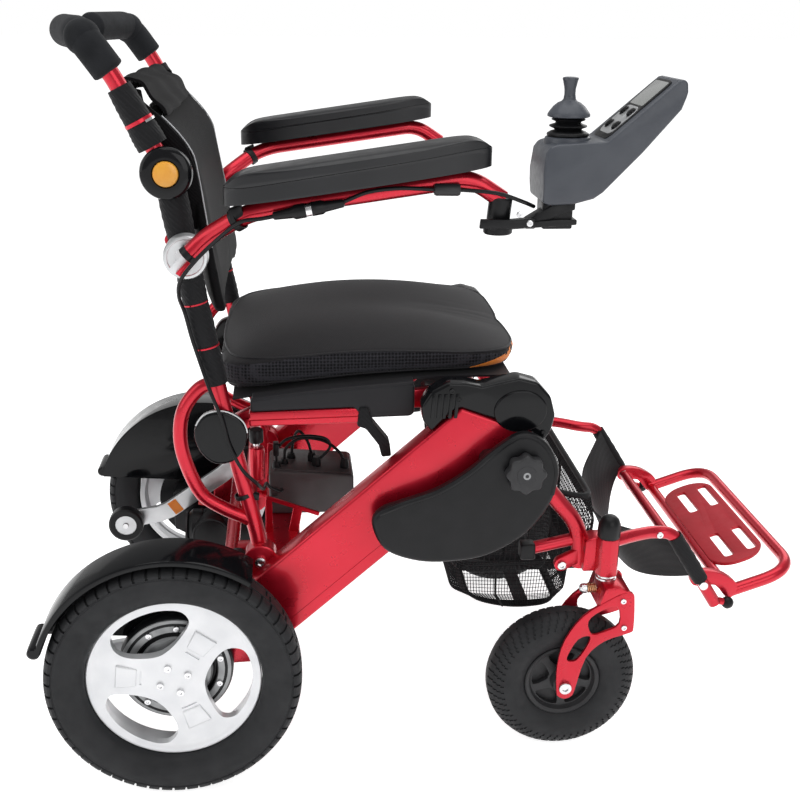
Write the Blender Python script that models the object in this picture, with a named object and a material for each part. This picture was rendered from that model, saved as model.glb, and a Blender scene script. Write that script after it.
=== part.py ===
"""Folding power wheelchair, built piece by piece at its real size.

Metres, +Z up. The chair faces +X and +Y is its user's left. Inside this file x is measured from the
rear axle and z from the floor; one empty at the end moves the whole chair so that the middle of its
length and width stands on the origin.
"""
import math

import bmesh
import bpy
from mathutils import Matrix, Vector

# Running gap left between pieces that touch or turn on each other
GAP = 0.0003

# Rear wheels: 12.5 inch tyre on a cast rim
TYRE_RADIUS = 0.1585
TYRE_WIDTH = 0.057
TYRE_INNER_RADIUS = 0.106
REAR_WHEEL_Y = 0.2885
RIM_DEPTH = 0.046
RIM_BARREL_WALL = 0.007
RIM_WEB_THICKNESS = 0.010
RIM_HUB_RADIUS = 0.030
AXLE_RADIUS = 0.009
WHEEL_STEPS = 26

# Front casters: 200 mm wheel trailing behind its swivel
CASTER_RADIUS = 0.100
CASTER_WIDTH = 0.048
CASTER_HUB_RADIUS = 0.046
CASTER_Y = 0.235
CASTER_TRAIL = 0.054
CASTER_AXLE_RADIUS = 0.005
CASTER_STEPS = 24
SWIVEL_X = 0.558
FORK_INSIDE = 0.027
FORK_PLATE = 0.005
FORK_RISE = 0.1435
FORK_TOP_Z = CASTER_RADIUS + FORK_RISE
COLLAR_RADIUS = 0.0115
BARREL_RADIUS = 0.0150
BARREL_BOTTOM_Z = FORK_TOP_Z + 0.0065
BARREL_HEIGHT = 0.0530
BARREL_TOP_Z = BARREL_BOTTOM_Z + BARREL_HEIGHT
CAP_RADIUS = 0.0148
CAP_HEIGHT = 0.030

# Tubes of the frame
UPRIGHT_Y = 0.205
UPRIGHT_RADIUS = 0.0105
BOW_RADIUS = 0.0088
FRONT_TUBE_RADIUS = 0.0110
HANGER_RADIUS = 0.0085
FOOT_TUBE_RADIUS = 0.0085
ARM_TUBE_RADIUS = 0.0100
HANDLE_TUBE_RADIUS = 0.0105
CROSS_TUBE_RADIUS = 0.0100

# Pivots of the folding linkage, as (x, z) in the side view
LINK_PIVOT = (0.1090, 0.2790)
SEAT_PIVOT = (0.0750, 0.4500)
FOLD_PIVOT = (0.4310, 0.4830)
ROCKER_PIVOT = (0.3320, 0.4840)
ROCKER_CROSS = (0.3850, 0.4780)
FOLD_EYE_RADIUS = 0.0200
# Origin of what hangs from the front frame and folds with it
FRONT_ORIGIN = (FOLD_PIVOT[0], 0, FOLD_PIVOT[1])

# Battery beams, one on each side
BEAM_INNER_Y = 0.2170
BEAM_THICKNESS = 0.0340
BEAM_OUTLINE = [
    (0.358, 0.489),
    (0.448, 0.454),
    (0.265, 0.293),
    (0.152, 0.195),
    (0.096, 0.148),
    (0.036, 0.146),
    (0.020, 0.160),
    (0.020, 0.194),
]
BEAM_EDGE_ROUNDING = 0.0025
EAR_RADIUS = 0.0140
EAR_THICKNESS = 0.0055
BATTERY_OUTLINE = [(0.205, 0.262), (0.382, 0.417), (0.340, 0.462), (0.164, 0.310)]
BATTERY_DEPTH = 0.0290

# Hinge covers over the upper end of the beams
COVER_INNER_Y = 0.2193
COVER_THICKNESS = 0.0335
COVER_OUTLINE = [
    (0.3220, 0.4592),
    (0.3100, 0.4750),
    (0.3090, 0.4930),
    (0.3200, 0.5110),
    (0.3420, 0.5225),
    (0.3620, 0.5215),
    (0.3830, 0.5160),
    (0.4040, 0.5220),
    (0.4280, 0.5270),
    (0.4520, 0.5200),
    (0.4690, 0.5010),
    (0.4755, 0.4770),
    (0.4705, 0.4540),
    (0.4600, 0.4420),
    (0.4495, 0.4500),
    (0.4490, 0.4548),
    (0.3580, 0.4900),
]

# Side guards and their star knobs
GUARD_INNER_Y = 0.2650
GUARD_THICKNESS = 0.0190
GUARD_POINTS = [
    (0.247, 0.352),
    (0.262, 0.318),
    (0.298, 0.301),
    (0.340, 0.297),
    (0.392, 0.305),
    (0.440, 0.334),
    (0.470, 0.378),
    (0.475, 0.420),
    (0.459, 0.453),
    (0.430, 0.466),
    (0.398, 0.448),
    (0.366, 0.420),
    (0.328, 0.396),
    (0.285, 0.381),
    (0.258, 0.371),
]
GUARD_BOSSES = [(0.332, 0.376), (0.392, 0.425)]
GUARD_BOSS_RADIUS = 0.0110
KNOB_CENTRE = (0.4320, 0.4190)
KNOB_RADIUS = 0.0250
KNOB_LOBES = 8
KNOB_LOBE_DEPTH = 0.0025
KNOB_HEIGHT = 0.0180

# Mudguards over the rear wheels
FENDER_CLEARANCE = 0.0130
FENDER_RADIUS = TYRE_RADIUS + FENDER_CLEARANCE
FENDER_WALL = 0.0040
FENDER_OUTER_Y = 0.3170
FENDER_FRONT_ANGLE = 54.0
FENDER_REAR_ANGLE = 162.0
FENDER_LIP_RADIUS = 0.0085
# Lower edge of the inner plate, as (angle round the axle, depth inside the arch)
FENDER_PLATE_LOWER = [(52.46, 0.0435), (58.78, 0.1136), (139.67, 0.1151), (159.33, 0.0539), (164.31, 0.0032)]

# Drive motors with their gearboxes, and the freewheel levers on them
GEARBOX_INNER_Y = 0.2220
# Rear x, front x, and how far it reaches below and above the axle
GEARBOX_BOX = (-0.046, 0.0197, 0.0425, 0.0315)
DRUM_RADIUS = 0.0720
DRUM_INNER_Y = 0.2560
DRUM_OUTER_Y = 0.2790
MOTOR_Y = 0.1680
MOTOR_RADIUS = 0.0340
MOTOR_Z = TYRE_RADIUS - 0.0165
MOTOR_FRONT_X = 0.0970
MOTOR_REAR_X = -0.0180
LEVER_PIVOT = (0.0420, MOTOR_Z + MOTOR_RADIUS + 0.0075)
LEVER_LENGTH = 0.0420

# Cross members, anti-tip bars and their little wheels
REAR_CROSS = (0.0660, 0.2370)
CROSS_BOX = (0.1120, 0.1600, 0.2050, 0.2617)
ANTITIP_Y = 0.2110
ANTITIP_WIDTH = 0.0100
ANTITIP_HEIGHT = 0.0240
ANTITIP_POINTS = [(0.0660, 0.2420), (0.0360, 0.2180), (-0.0510, 0.1585), (-0.0835, 0.1507),
                  (-0.1210, 0.1437)]
ANTITIP_WHEEL_RADIUS = 0.0280
ANTITIP_WHEEL_WIDTH = 0.0200
CONTROL_BOX = (0.1180, 0.2250, 0.2620, 0.3220)
CONTROL_BOX_HALF_WIDTH = 0.0450

# Seat
RAIL_INNER_Y = 0.1940
RAIL_OUTER_Y = 0.2130
RAIL_OUTLINE = [(0.1000, 0.4580), (0.1000, 0.4760), (0.2320, 0.4790), (0.2480, 0.4600)]
SEAT_INNER_BAR_Y = (0.1800, 0.1940)
CUSHION_HALF_WIDTH = 0.1900
CUSHION_REAR_X = 0.0620
CUSHION_FRONT_X = 0.4490
SEAT_FLOOR_START = (0.0700, 0.4915)
SEAT_FLOOR_RISE = 0.1619
SEAT_FLOOR_ROUNDING = 0.2602
CUSHION_SIDE_HEIGHT = 0.0360
CUSHION_CROWN = 0.0220
CUSHION_SQUARENESS = 8.0
CUSHION_CHANNEL = 0.0060
SLING_THICKNESS = 0.0100
PANEL_REAR_X = 0.0790
PANEL_FRONT_X = 0.4300
SKIRT_OUTLINE = [
    (0.1020, 0.4764),
    (0.2325, 0.4794),
    (0.2480, 0.4770),
    (0.3050, 0.4780),
    (0.3050, 0.5080),
    (0.2200, 0.5040),
    (0.1020, 0.4930),
]

# Back
UPRIGHT_KNEE = (0.0400, 0.6220)
UPRIGHT_FOOT = (0.1060, 0.3060)
HUB = (0.0170, 0.7700)
HUB_RADIUS = 0.0300
HUB_INNER_Y = 0.2158
HUB_OUTER_Y = 0.2320
HUB_EYE_RADIUS = 0.0190
BOW_POINTS = [
    (0.0620, 0.5150),
    (0.0400, 0.5060),
    (0.0200, 0.4780),
    (0.0145, 0.4400),
    (0.0220, 0.4020),
    (0.0380, 0.3660),
    (0.0640, 0.3460),
    (0.0960, 0.3300),
]
PIVOT_COVER_POINTS = [(0.033, 0.455), (0.040, 0.430), (0.058, 0.4145), (0.082, 0.419), (0.097, 0.444),
                      (0.093, 0.469), (0.070, 0.483), (0.045, 0.478)]
PIVOT_COVER_THICKNESS = 0.0110
DAMPER_Y = 0.1250
UPHOLSTERY_HALF_WIDTH = 0.1900
UPHOLSTERY_THICKNESS = 0.0230
UPHOLSTERY_LOW_Z = 0.5920
UPHOLSTERY_TOP_Z = 0.8380
UPHOLSTERY_SHOULDER_Z = 0.7300
UPHOLSTERY_AHEAD = 0.0350

# Push handles
HANDLE_KNEE = (-0.0380, 0.8760)
HANDLE_ELBOW = (-0.0690, 0.9200)
HANDLE_TUBE_Y = 0.2070
GRIP_INWARD = 0.1050
GRIP_BACK = 0.0330
GRIP_RADIUS = 0.0187
GRIP_ELBOW_BEND = 0.0300
BUTTON_RADIUS = 0.0145
BUTTON_HEIGHT = 0.0080
BUTTON_TRAVEL = 0.0030

# Armrests
ARM_PIVOT = (0.0350, 0.6760)
ARM_DISC_RADIUS = 0.0260
ARM_DISC_INNER_Y = 0.2193
ARM_DISC_OUTER_Y = 0.2412
ARM_TUBE_INNER_Y = 0.2515
ARM_TUBE_OUTER_Y = 0.2790
PAD_INNER_Y = 0.2450
PAD_OUTER_Y = 0.3150
PAD_REAR = (0.0830, 0.7430)
PAD_FRONT = (0.3790, 0.7856)
PAD_HEIGHT = 0.0340
PAD_END_RADIUS = 0.0170

# Drive control and joystick
CONTROL_Y = 0.2690
CONTROL_HALF_WIDTH = 0.0420
CONTROL_OUTLINE = [
    (0.4320, 0.7520),
    (0.4310, 0.7910),
    (0.4400, 0.8090),
    (0.5010, 0.8140),
    (0.5740, 0.8780),
    (0.5900, 0.8770),
    (0.5930, 0.8650),
    (0.5890, 0.8480),
    (0.5470, 0.8020),
    (0.5030, 0.7570),
    (0.4930, 0.7500),
    (0.4710, 0.7440),
    (0.4420, 0.7440),
]
CONTROL_BRACKET = (0.3780, 0.4760, 0.7200, 0.7350)
STICK = (0.4660, 0.8190)
STICK_BASE_RADIUS = 0.0235
STICK_SEAT_Z = 0.8160
KEY_RADIUS = 0.0062
KEY_HEIGHT = 0.0045
KEY_TRAVEL = 0.0015
KEY_PLACES = [(0.22, -0.014), (0.22, 0.014), (0.44, -0.014), (0.44, 0.014)]
CABLE_RADIUS = 0.0030

# Footrest
FOOT_PIVOT = (0.7020, 0.2120)
FOOT_ROD_RADIUS = 0.0060
HANGER_Y = 0.2010
FOOT_TUBE_Y = 0.1830
FOOT_REAR_X = 0.7480
FOOT_FRONT_X = 0.8405
FOOT_REAR_Z = 0.1870
FOOT_SLOPE = 18.6
FOOT_CORNER = 0.0480
PLATE_HALF_WIDTH = 0.1320
PLATE_THICKNESS = 0.0050
PLATE_DEPTH = 0.0740
SLOT_HALF_LENGTH = 0.0350
SLOT_WIDTH = 0.0130

# Net bag under the seat and calf strap
BAG_WALL = 0.0030
BAG_RIM_FALL = 0.0480
# Rear x, front x, half width and height of the bag at each level
BAG_LEVELS = [
    (0.4040, 0.5340, 0.0740, 0.1180),
    (0.3760, 0.5500, 0.0800, 0.1400),
    (0.3680, 0.5540, 0.0860, 0.1960),
    (0.3680, 0.5540, 0.1780, 0.2280),
    (0.3640, 0.5560, 0.1934, 0.3000),
    (0.3560, 0.5480, 0.1934, 0.3880),
]
STRAP_THICKNESS = 0.0030

# Overall reach, used to stand the chair in the middle of its own length
REAR_REACH = FENDER_RADIUS * math.cos(math.radians(FENDER_REAR_ANGLE)) - FENDER_LIP_RADIUS
FRONT_REACH = FOOT_FRONT_X + FOOT_TUBE_RADIUS
MIDDLE_X = (REAR_REACH + FRONT_REACH) / 2

# Paints: base colour, roughness, metallic
RED = ((0.62, 0.02, 0.05), 0.32, 0.75)
BLACK_GLOSS = ((0.012, 0.013, 0.016), 0.18, 0.0)
BLACK_MATT = ((0.02, 0.02, 0.022), 0.55, 0.0)
GREY_PLASTIC = ((0.045, 0.047, 0.052), 0.45, 0.0)
BLUE_GREY = ((0.07, 0.08, 0.10), 0.42, 0.0)
SILVER = ((0.62, 0.63, 0.65), 0.35, 0.9)
CHROME = ((0.80, 0.81, 0.83), 0.12, 1.0)
TYRE_RUBBER = ((0.030, 0.031, 0.034), 0.75, 0.0)
FABRIC = ((0.012, 0.012, 0.014), 0.85, 0.0)
FOAM = ((0.02, 0.021, 0.025), 0.8, 0.0)
ORANGE = ((0.95, 0.55, 0.12), 0.4, 0.0)

SIDES = {"right": -1, "left": 1}


def clear_scene():
    for item in list(bpy.data.objects):
        bpy.data.objects.remove(item, do_unlink=True)


def paint(obj, finish):
    colour, roughness, metallic = finish
    material = bpy.data.materials.new(obj.name)
    material.use_nodes = True
    shader = material.node_tree.nodes["Principled BSDF"]
    shader.inputs["Base Color"].default_value = (*colour, 1.0)
    shader.inputs["Roughness"].default_value = roughness
    shader.inputs["Metallic"].default_value = metallic
    obj.data.materials.append(material)


def add_object(name, bm, origin, finish=None):
    """Turn a bmesh drawn in chair coordinates into an object whose origin is `origin`."""
    origin = Vector(origin)
    bmesh.ops.remove_doubles(bm, verts=bm.verts, dist=1e-6)
    bmesh.ops.recalc_face_normals(bm, faces=bm.faces)
    bm.transform(Matrix.Translation(-origin))
    mesh = bpy.data.meshes.new(name)
    bm.to_mesh(mesh)
    bm.free()
    mesh.shade_smooth()
    mesh.set_sharp_from_angle(angle=math.radians(35))
    obj = bpy.data.objects.new(name, mesh)
    obj.location = origin
    bpy.context.scene.collection.objects.link(obj)
    if finish:
        paint(obj, finish)
    return obj


def combine(target, bm, operation):
    """Weld a shape onto `target` or cut it out, with the shape kept as a hidden guide."""
    count = len(target.modifiers) + 1
    guide = add_object(f"{target.name}.{operation.lower()}.{count:02d}", bm, (0, 0, 0))
    guide.hide_render = True
    guide.display_type = "WIRE"
    guide["guide"] = True
    modifier = target.modifiers.new(f"{operation.title()} {count}", "BOOLEAN")
    modifier.operation = operation
    modifier.object = guide
    return guide


def weld(target, *shapes):
    for bm in shapes:
        combine(target, bm, "UNION")


def cut(target, *shapes):
    for bm in shapes:
        combine(target, bm, "DIFFERENCE")


def round_edges(obj, width, segments=1, angle=30):
    bevel = obj.modifiers.new("Rounded edges", "BEVEL")
    bevel.width = width
    bevel.segments = segments
    bevel.limit_method = "ANGLE"
    bevel.angle_limit = math.radians(angle)


def prism(outline, y0, y1):
    """A side-view outline of (x, z) points carried across from y0 to y1."""
    bm = bmesh.new()
    ring = [bm.verts.new((x, y0, z)) for x, z in outline]
    face = bm.faces.new(ring)
    grown = bmesh.ops.extrude_face_region(bm, geom=[face])["geom"]
    moved = [v for v in grown if isinstance(v, bmesh.types.BMVert)]
    bmesh.ops.translate(bm, verts=moved, vec=(0, y1 - y0, 0))
    return bm


def block(x0, x1, y0, y1, z0, z1):
    return prism([(x0, z0), (x1, z0), (x1, z1), (x0, z1)], y0, y1)


def disc(centre, radius, y0, y1, steps=20):
    return prism(circle(centre, radius, steps), y0, y1)


def disc_up(centre, radius, z0, z1, steps=20):
    """A short upright cylinder at an (x, y) centre."""
    return turned([(0, z0), (radius, z0), (radius, z1), (0, z1)], (centre[0], centre[1], 0), (0, 0, 1),
                  steps)


def circle(centre, radius, steps):
    turn = [math.tau * k / steps for k in range(steps)]
    return [(centre[0] + radius * math.cos(a), centre[1] + radius * math.sin(a)) for a in turn]


def smooth_loop(points, per_span=3):
    """A closed curve through the points, each span split into equal steps."""
    out = []
    count = len(points)
    for k in range(count):
        a, b, c, d = (Vector(points[(k + j) % count]) for j in (-1, 0, 1, 2))
        for step in range(per_span):
            t = step / per_span
            out.append(tuple(blend_points(a, b, c, d, t)))
    return out


def smooth_path(points, per_span=4):
    """An open curve through the points."""
    points = [Vector(p) for p in points]
    ends = [points[0] * 2 - points[1]] + points + [points[-1] * 2 - points[-2]]
    out = []
    for k in range(len(points) - 1):
        for step in range(per_span):
            out.append(blend_points(*ends[k:k + 4], step / per_span))
    out.append(points[-1])
    return out


def blend_points(a, b, c, d, t):
    square = (2 * a - 5 * b + 4 * c - d) * t * t
    cube = (3 * b - a - 3 * c + d) * t ** 3
    return 0.5 * (2 * b + (c - a) * t + square + cube)


def bent_path(points, bend, steps=3):
    """Straight runs between the points, with each corner rounded off."""
    points = [Vector(p) for p in points]
    out = [points[0]]
    for before, corner, after in zip(points, points[1:], points[2:]):
        back = (before - corner)
        on = (after - corner)
        reach = min(bend, back.length * 0.48, on.length * 0.48)
        start = corner + back.normalized() * reach
        end = corner + on.normalized() * reach
        for k in range(steps + 1):
            t = k / steps
            out.append(start * (1 - t) ** 2 + corner * 2 * t * (1 - t) + end * t * t)
    out.append(points[-1])
    return out


def tube(path, radius, resolution=2):
    """A round bar along the path, with closed ends."""
    curve = bpy.data.curves.new("route", "CURVE")
    curve.dimensions = "3D"
    curve.bevel_depth = radius
    curve.bevel_resolution = resolution
    curve.use_fill_caps = True
    spline = curve.splines.new("POLY")
    spline.points.add(len(path) - 1)
    for point, place in zip(spline.points, path):
        point.co = (*place, 1.0)
    holder = bpy.data.objects.new("route", curve)
    bpy.context.scene.collection.objects.link(holder)
    mesh = bpy.data.meshes.new_from_object(holder)
    bm = bmesh.new()
    bm.from_mesh(mesh)
    bmesh.ops.remove_doubles(bm, verts=bm.verts, dist=1e-6)
    bpy.data.objects.remove(holder, do_unlink=True)
    return bm


def side_path(points, y):
    return [Vector((x, y, z)) for x, z in points]


def turned(profile, centre, axis, steps):
    """A closed profile of (radius, distance along the axis) points turned a full circle."""
    axis = Vector(axis).normalized()
    start = Vector((0, 0, -1)) if abs(axis.z) < 0.9 else Vector((1, 0, 0))
    start = (start - axis * start.dot(axis)).normalized()
    centre = Vector(centre)
    bm = bmesh.new()
    ring = [bm.verts.new(centre + start * r + axis * h) for r, h in profile]
    edges = [bm.edges.new((ring[k], ring[(k + 1) % len(ring)])) for k in range(len(ring))]
    bmesh.ops.spin(bm, geom=ring + edges, cent=centre, axis=axis, dvec=(0, 0, 0), angle=math.tau,
                   steps=steps, use_merge=True, use_duplicate=False)
    bmesh.ops.remove_doubles(bm, verts=bm.verts, dist=1e-6)
    bmesh.ops.dissolve_degenerate(bm, dist=1e-7, edges=bm.edges)
    on_axis = [e for e in bm.edges if not e.link_faces]
    bmesh.ops.delete(bm, geom=on_axis, context="EDGES")
    return bm


def ball(centre, radius):
    bm = bmesh.new()
    bmesh.ops.create_icosphere(bm, subdivisions=2, radius=radius, matrix=Matrix.Translation(centre))
    return bm


# Rear wheels
def build_rear_wheel(side, s):
    y = s * REAR_WHEEL_Y
    axle = (0, y, TYRE_RADIUS)
    half = TYRE_WIDTH / 2
    shoulder = TYRE_RADIUS - 0.012
    wall = (TYRE_RADIUS + TYRE_INNER_RADIUS) / 2
    tyre = [
        (TYRE_RADIUS, -half * 0.45),
        (TYRE_RADIUS, half * 0.45),
        (shoulder, half * 0.88),
        (wall, half),
        (TYRE_INNER_RADIUS + GAP, half * 0.72),
        (TYRE_INNER_RADIUS + GAP, -half * 0.72),
        (wall, -half),
        (shoulder, -half * 0.88),
    ]
    add_object(f"rear_tyre_{side}", turned(tyre, axle, (0, 1, 0), WHEEL_STEPS), axle, TYRE_RUBBER)

    depth = RIM_DEPTH / 2
    barrel = TYRE_INNER_RADIUS - RIM_BARREL_WALL
    face = depth - 0.004
    bore = AXLE_RADIUS + GAP
    rim = [
        (TYRE_INNER_RADIUS, -depth),
        (TYRE_INNER_RADIUS, depth),
        (barrel, depth),
        (barrel - 0.008, face),
        (RIM_HUB_RADIUS, face + 0.003),
        (bore, face + 0.003),
        (bore, face - RIM_WEB_THICKNESS - 0.006),
        (RIM_HUB_RADIUS, face - RIM_WEB_THICKNESS - 0.006),
        (RIM_HUB_RADIUS + 0.006, face - RIM_WEB_THICKNESS),
        (barrel, face - RIM_WEB_THICKNESS),
        (barrel, -depth),
    ]
    rim = [(r, s * h) for r, h in rim]
    wheel = add_object(f"rear_rim_{side}", turned(rim, axle, (0, 1, 0), WHEEL_STEPS), axle, SILVER)
    for k in range(3):
        start = math.radians(120 * k + 75)
        cut(wheel, prism(bean(start, math.radians(84)), y, y + s * RIM_DEPTH))


def bean(start, sweep):
    """A kidney-shaped window in the rim, between two spokes."""
    inner = RIM_HUB_RADIUS + 0.018
    outer = TYRE_INNER_RADIUS - RIM_BARREL_WALL - 0.014
    points = []
    for k in range(7):
        a = start + sweep * k / 6
        points.append((outer * math.cos(a), TYRE_RADIUS + outer * math.sin(a)))
    for k in range(4):
        a = start + sweep * (0.86 - 0.72 * k / 3)
        points.append((inner * math.cos(a), TYRE_RADIUS + inner * math.sin(a)))
    return points


# Beams, batteries, ears
def build_beam(side, s):
    inner = s * BEAM_INNER_Y
    outer = s * (BEAM_INNER_Y + BEAM_THICKNESS)
    beam = add_object(f"beam_{side}", prism(BEAM_OUTLINE, inner, outer), (0, 0, 0), RED)
    round_edges(beam, BEAM_EDGE_ROUNDING)
    cut(beam, prism(BATTERY_OUTLINE, inner - s * 0.01, inner + s * (BATTERY_DEPTH + 2 * GAP)))
    weld(beam, disc(LINK_PIVOT, EAR_RADIUS, inner, inner + s * EAR_THICKNESS, 16))

    centre = Vector((sum(p[0] for p in BATTERY_OUTLINE) / 4, sum(p[1] for p in BATTERY_OUTLINE) / 4))
    inset = []
    for x, z in BATTERY_OUTLINE:
        away = Vector((x, z)) - centre
        inset.append(tuple(Vector((x, z)) - away.normalized() * 2.5 * GAP))
    pack = prism(inset, inner + s * GAP, inner + s * BATTERY_DEPTH)
    add_object(f"battery_{side}", pack, (0, 0, 0), GREY_PLASTIC)


def build_hinge_cover(side, s):
    cover = prism(COVER_OUTLINE, s * COVER_INNER_Y, s * (COVER_INNER_Y + COVER_THICKNESS))
    obj = add_object(f"hinge_cover_{side}", cover, (0, 0, 0), BLACK_GLOSS)
    round_edges(obj, 0.0030, angle=60)


def build_guard(side, s):
    outline = smooth_loop(GUARD_POINTS, 2)
    inner = GUARD_INNER_Y
    outer = GUARD_INNER_Y + GUARD_THICKNESS
    guard = add_object(f"guard_{side}", prism(outline, s * inner, s * outer), (0, 0, 0), BLACK_MATT)
    round_edges(guard, 0.0040, angle=60)
    beam_face = BEAM_INNER_Y + BEAM_THICKNESS + GAP
    for place in GUARD_BOSSES:
        weld(guard, disc(place, GUARD_BOSS_RADIUS, s * beam_face, s * (inner + 0.004), 12))

    knob = []
    steps = KNOB_LOBES * 4
    for k in range(steps):
        a = math.tau * k / steps
        r = KNOB_RADIUS - KNOB_LOBE_DEPTH * (1 - math.cos(KNOB_LOBES * a)) / 2
        knob.append((KNOB_CENTRE[0] + r * math.cos(a), KNOB_CENTRE[1] + r * math.sin(a)))
    origin = (KNOB_CENTRE[0], s * outer, KNOB_CENTRE[1])
    star = prism(knob, s * (outer + GAP), s * (outer + GAP + KNOB_HEIGHT))
    add_object(f"star_knob_{side}", star, origin, GREY_PLASTIC)


# Mudguards
def build_fender(side, s):
    start = math.radians(FENDER_FRONT_ANGLE)
    end = math.radians(FENDER_REAR_ANGLE)
    angles = [start + (end - start) * k / 18 for k in range(19)]
    arch = [(FENDER_RADIUS * math.cos(a), TYRE_RADIUS + FENDER_RADIUS * math.sin(a)) for a in angles]
    plate_face = BEAM_INNER_Y + BEAM_THICKNESS + GAP
    lower = []
    for angle, depth in FENDER_PLATE_LOWER[::-1]:
        a = math.radians(angle)
        r = FENDER_RADIUS - depth
        lower.append((r * math.cos(a), TYRE_RADIUS + r * math.sin(a)))
    body = prism(arch + lower, s * plate_face, s * FENDER_OUTER_Y)
    fender = add_object(f"fender_{side}", body, (0, 0, 0), BLACK_GLOSS)
    wheel_space = circle((0, TYRE_RADIUS), FENDER_RADIUS - FENDER_WALL, 44)
    cut(fender, prism(wheel_space, s * (plate_face + FENDER_WALL), s * (FENDER_OUTER_Y + 0.01)))
    weld(fender,
         disc(arch[-1], FENDER_LIP_RADIUS, s * (plate_face + 0.002), s * (FENDER_OUTER_Y - 0.001), 12))


# Motors and freewheel levers
def build_motor(side, s):
    x0, x1, below, above = GEARBOX_BOX
    z0 = TYRE_RADIUS - below
    z1 = TYRE_RADIUS + above
    gearbox = block(x0, x1, s * GEARBOX_INNER_Y, s * (DRUM_INNER_Y + 0.004), z0, z1)
    motor = add_object(f"motor_{side}", gearbox, (0, 0, TYRE_RADIUS), BLACK_MATT)
    drum = disc((0, TYRE_RADIUS), DRUM_RADIUS, s * DRUM_INNER_Y, s * DRUM_OUTER_Y, 24)
    shaft = disc((0, TYRE_RADIUS), AXLE_RADIUS, s * (DRUM_OUTER_Y - 0.004), s * 0.3060, 16)
    neck = block(x0 + 0.022, x1 - 0.001, s * (MOTOR_Y + 0.01), s * (GEARBOX_INNER_Y + 0.01),
                 z0 + 0.004, MOTOR_Z + 0.008)
    profile = [(0, 0), (MOTOR_RADIUS, 0), (MOTOR_RADIUS, MOTOR_FRONT_X - MOTOR_REAR_X),
               (0, MOTOR_FRONT_X - MOTOR_REAR_X)]
    can = turned(profile, (MOTOR_REAR_X, s * MOTOR_Y, MOTOR_Z), (1, 0, 0), 20)
    weld(motor, drum, shaft, neck, can)

    lx, lz = LEVER_PIVOT
    y0 = s * (MOTOR_Y - 0.012)
    y1 = s * (MOTOR_Y + 0.000)
    origin = (lx, s * (MOTOR_Y - 0.006), lz)
    base = MOTOR_Z + MOTOR_RADIUS + GAP
    lever = prism([(lx - 0.009, base), (lx + 0.009, base), (lx + 0.009, lz + 0.005),
                   (lx - LEVER_LENGTH, lz + 0.012), (lx - LEVER_LENGTH, lz + 0.006)], y0, y1)
    add_object(f"freewheel_lever_{side}", lever, origin, RED)


# Cross members between the beams, with the anti-tip bars
def build_rear_cross():
    reach = BEAM_INNER_Y - GAP
    x, z = REAR_CROSS
    path = [Vector((x, -reach, z)), Vector((x, reach, z))]
    cross = add_object("rear_cross", tube(path, CROSS_TUBE_RADIUS), (0, 0, 0), RED)
    x0, x1, z0, z1 = CROSS_BOX
    weld(cross, block(x0, x1, -reach, reach, z0, z1 - GAP))
    for s in SIDES.values():
        weld(cross, block(x, x0 + 0.004, s * 0.085, s * 0.110, z - 0.006, z + 0.006))
        y0 = s * (ANTITIP_Y - ANTITIP_WIDTH / 2)
        y1 = s * (ANTITIP_Y + ANTITIP_WIDTH / 2)
        weld(cross, prism(bar_outline(ANTITIP_POINTS, ANTITIP_HEIGHT), y0, y1))
        end = ANTITIP_POINTS[-1]
        pin_in = s * (ANTITIP_Y - ANTITIP_WIDTH / 2 - ANTITIP_WHEEL_WIDTH - 0.003)
        weld(cross, disc(end, 0.0045, pin_in, s * ANTITIP_Y, 10))
    return cross


def bar_outline(points, height):
    """A flat bar of the given height along the points, with a round far end."""
    points = [Vector(p) for p in points]
    upper = []
    lower = []
    for k, point in enumerate(points):
        before = (point - points[k - 1]).normalized() if k else (points[1] - point).normalized()
        after = (points[k + 1] - point).normalized() if k + 1 < len(points) else before
        along = (before + after).normalized()
        across = Vector((-along.y, along.x)) * height / 2
        upper.append(tuple(point - across))
        lower.append(tuple(point + across))
    end = points[-1]
    along = (points[-1] - points[-2]).normalized()
    nose = []
    for k in range(1, 5):
        a = math.pi * k / 5
        turn = Vector((along.x * math.sin(a) + along.y * math.cos(a),
                       along.y * math.sin(a) - along.x * math.cos(a)))
        nose.append(tuple(end + turn * height / 2))
    return upper + nose + lower[::-1]


def build_antitip_wheel(side, s):
    x, z = ANTITIP_POINTS[-1]
    outer = ANTITIP_Y - ANTITIP_WIDTH / 2 - GAP
    inner = outer - ANTITIP_WHEEL_WIDTH
    middle = s * (outer + inner) / 2
    half = ANTITIP_WHEEL_WIDTH / 2
    profile = [(0.0045 + GAP, -half), (ANTITIP_WHEEL_RADIUS - 0.004, -half),
               (ANTITIP_WHEEL_RADIUS, -half + 0.004),
               (ANTITIP_WHEEL_RADIUS, half - 0.004), (ANTITIP_WHEEL_RADIUS - 0.004, half),
               (0.0045 + GAP, half)]
    centre = (x, middle, z)
    add_object(f"antitip_wheel_{side}", turned(profile, centre, (0, 1, 0), 16), centre, BLACK_MATT)


def build_control_box():
    x0, x1, z0, z1 = CONTROL_BOX
    half = CONTROL_BOX_HALF_WIDTH
    box = add_object("controller_box", block(x0, x1, -half, half, z0, z1), (0, 0, 0), GREY_PLASTIC)
    round_edges(box, 0.0030)


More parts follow.
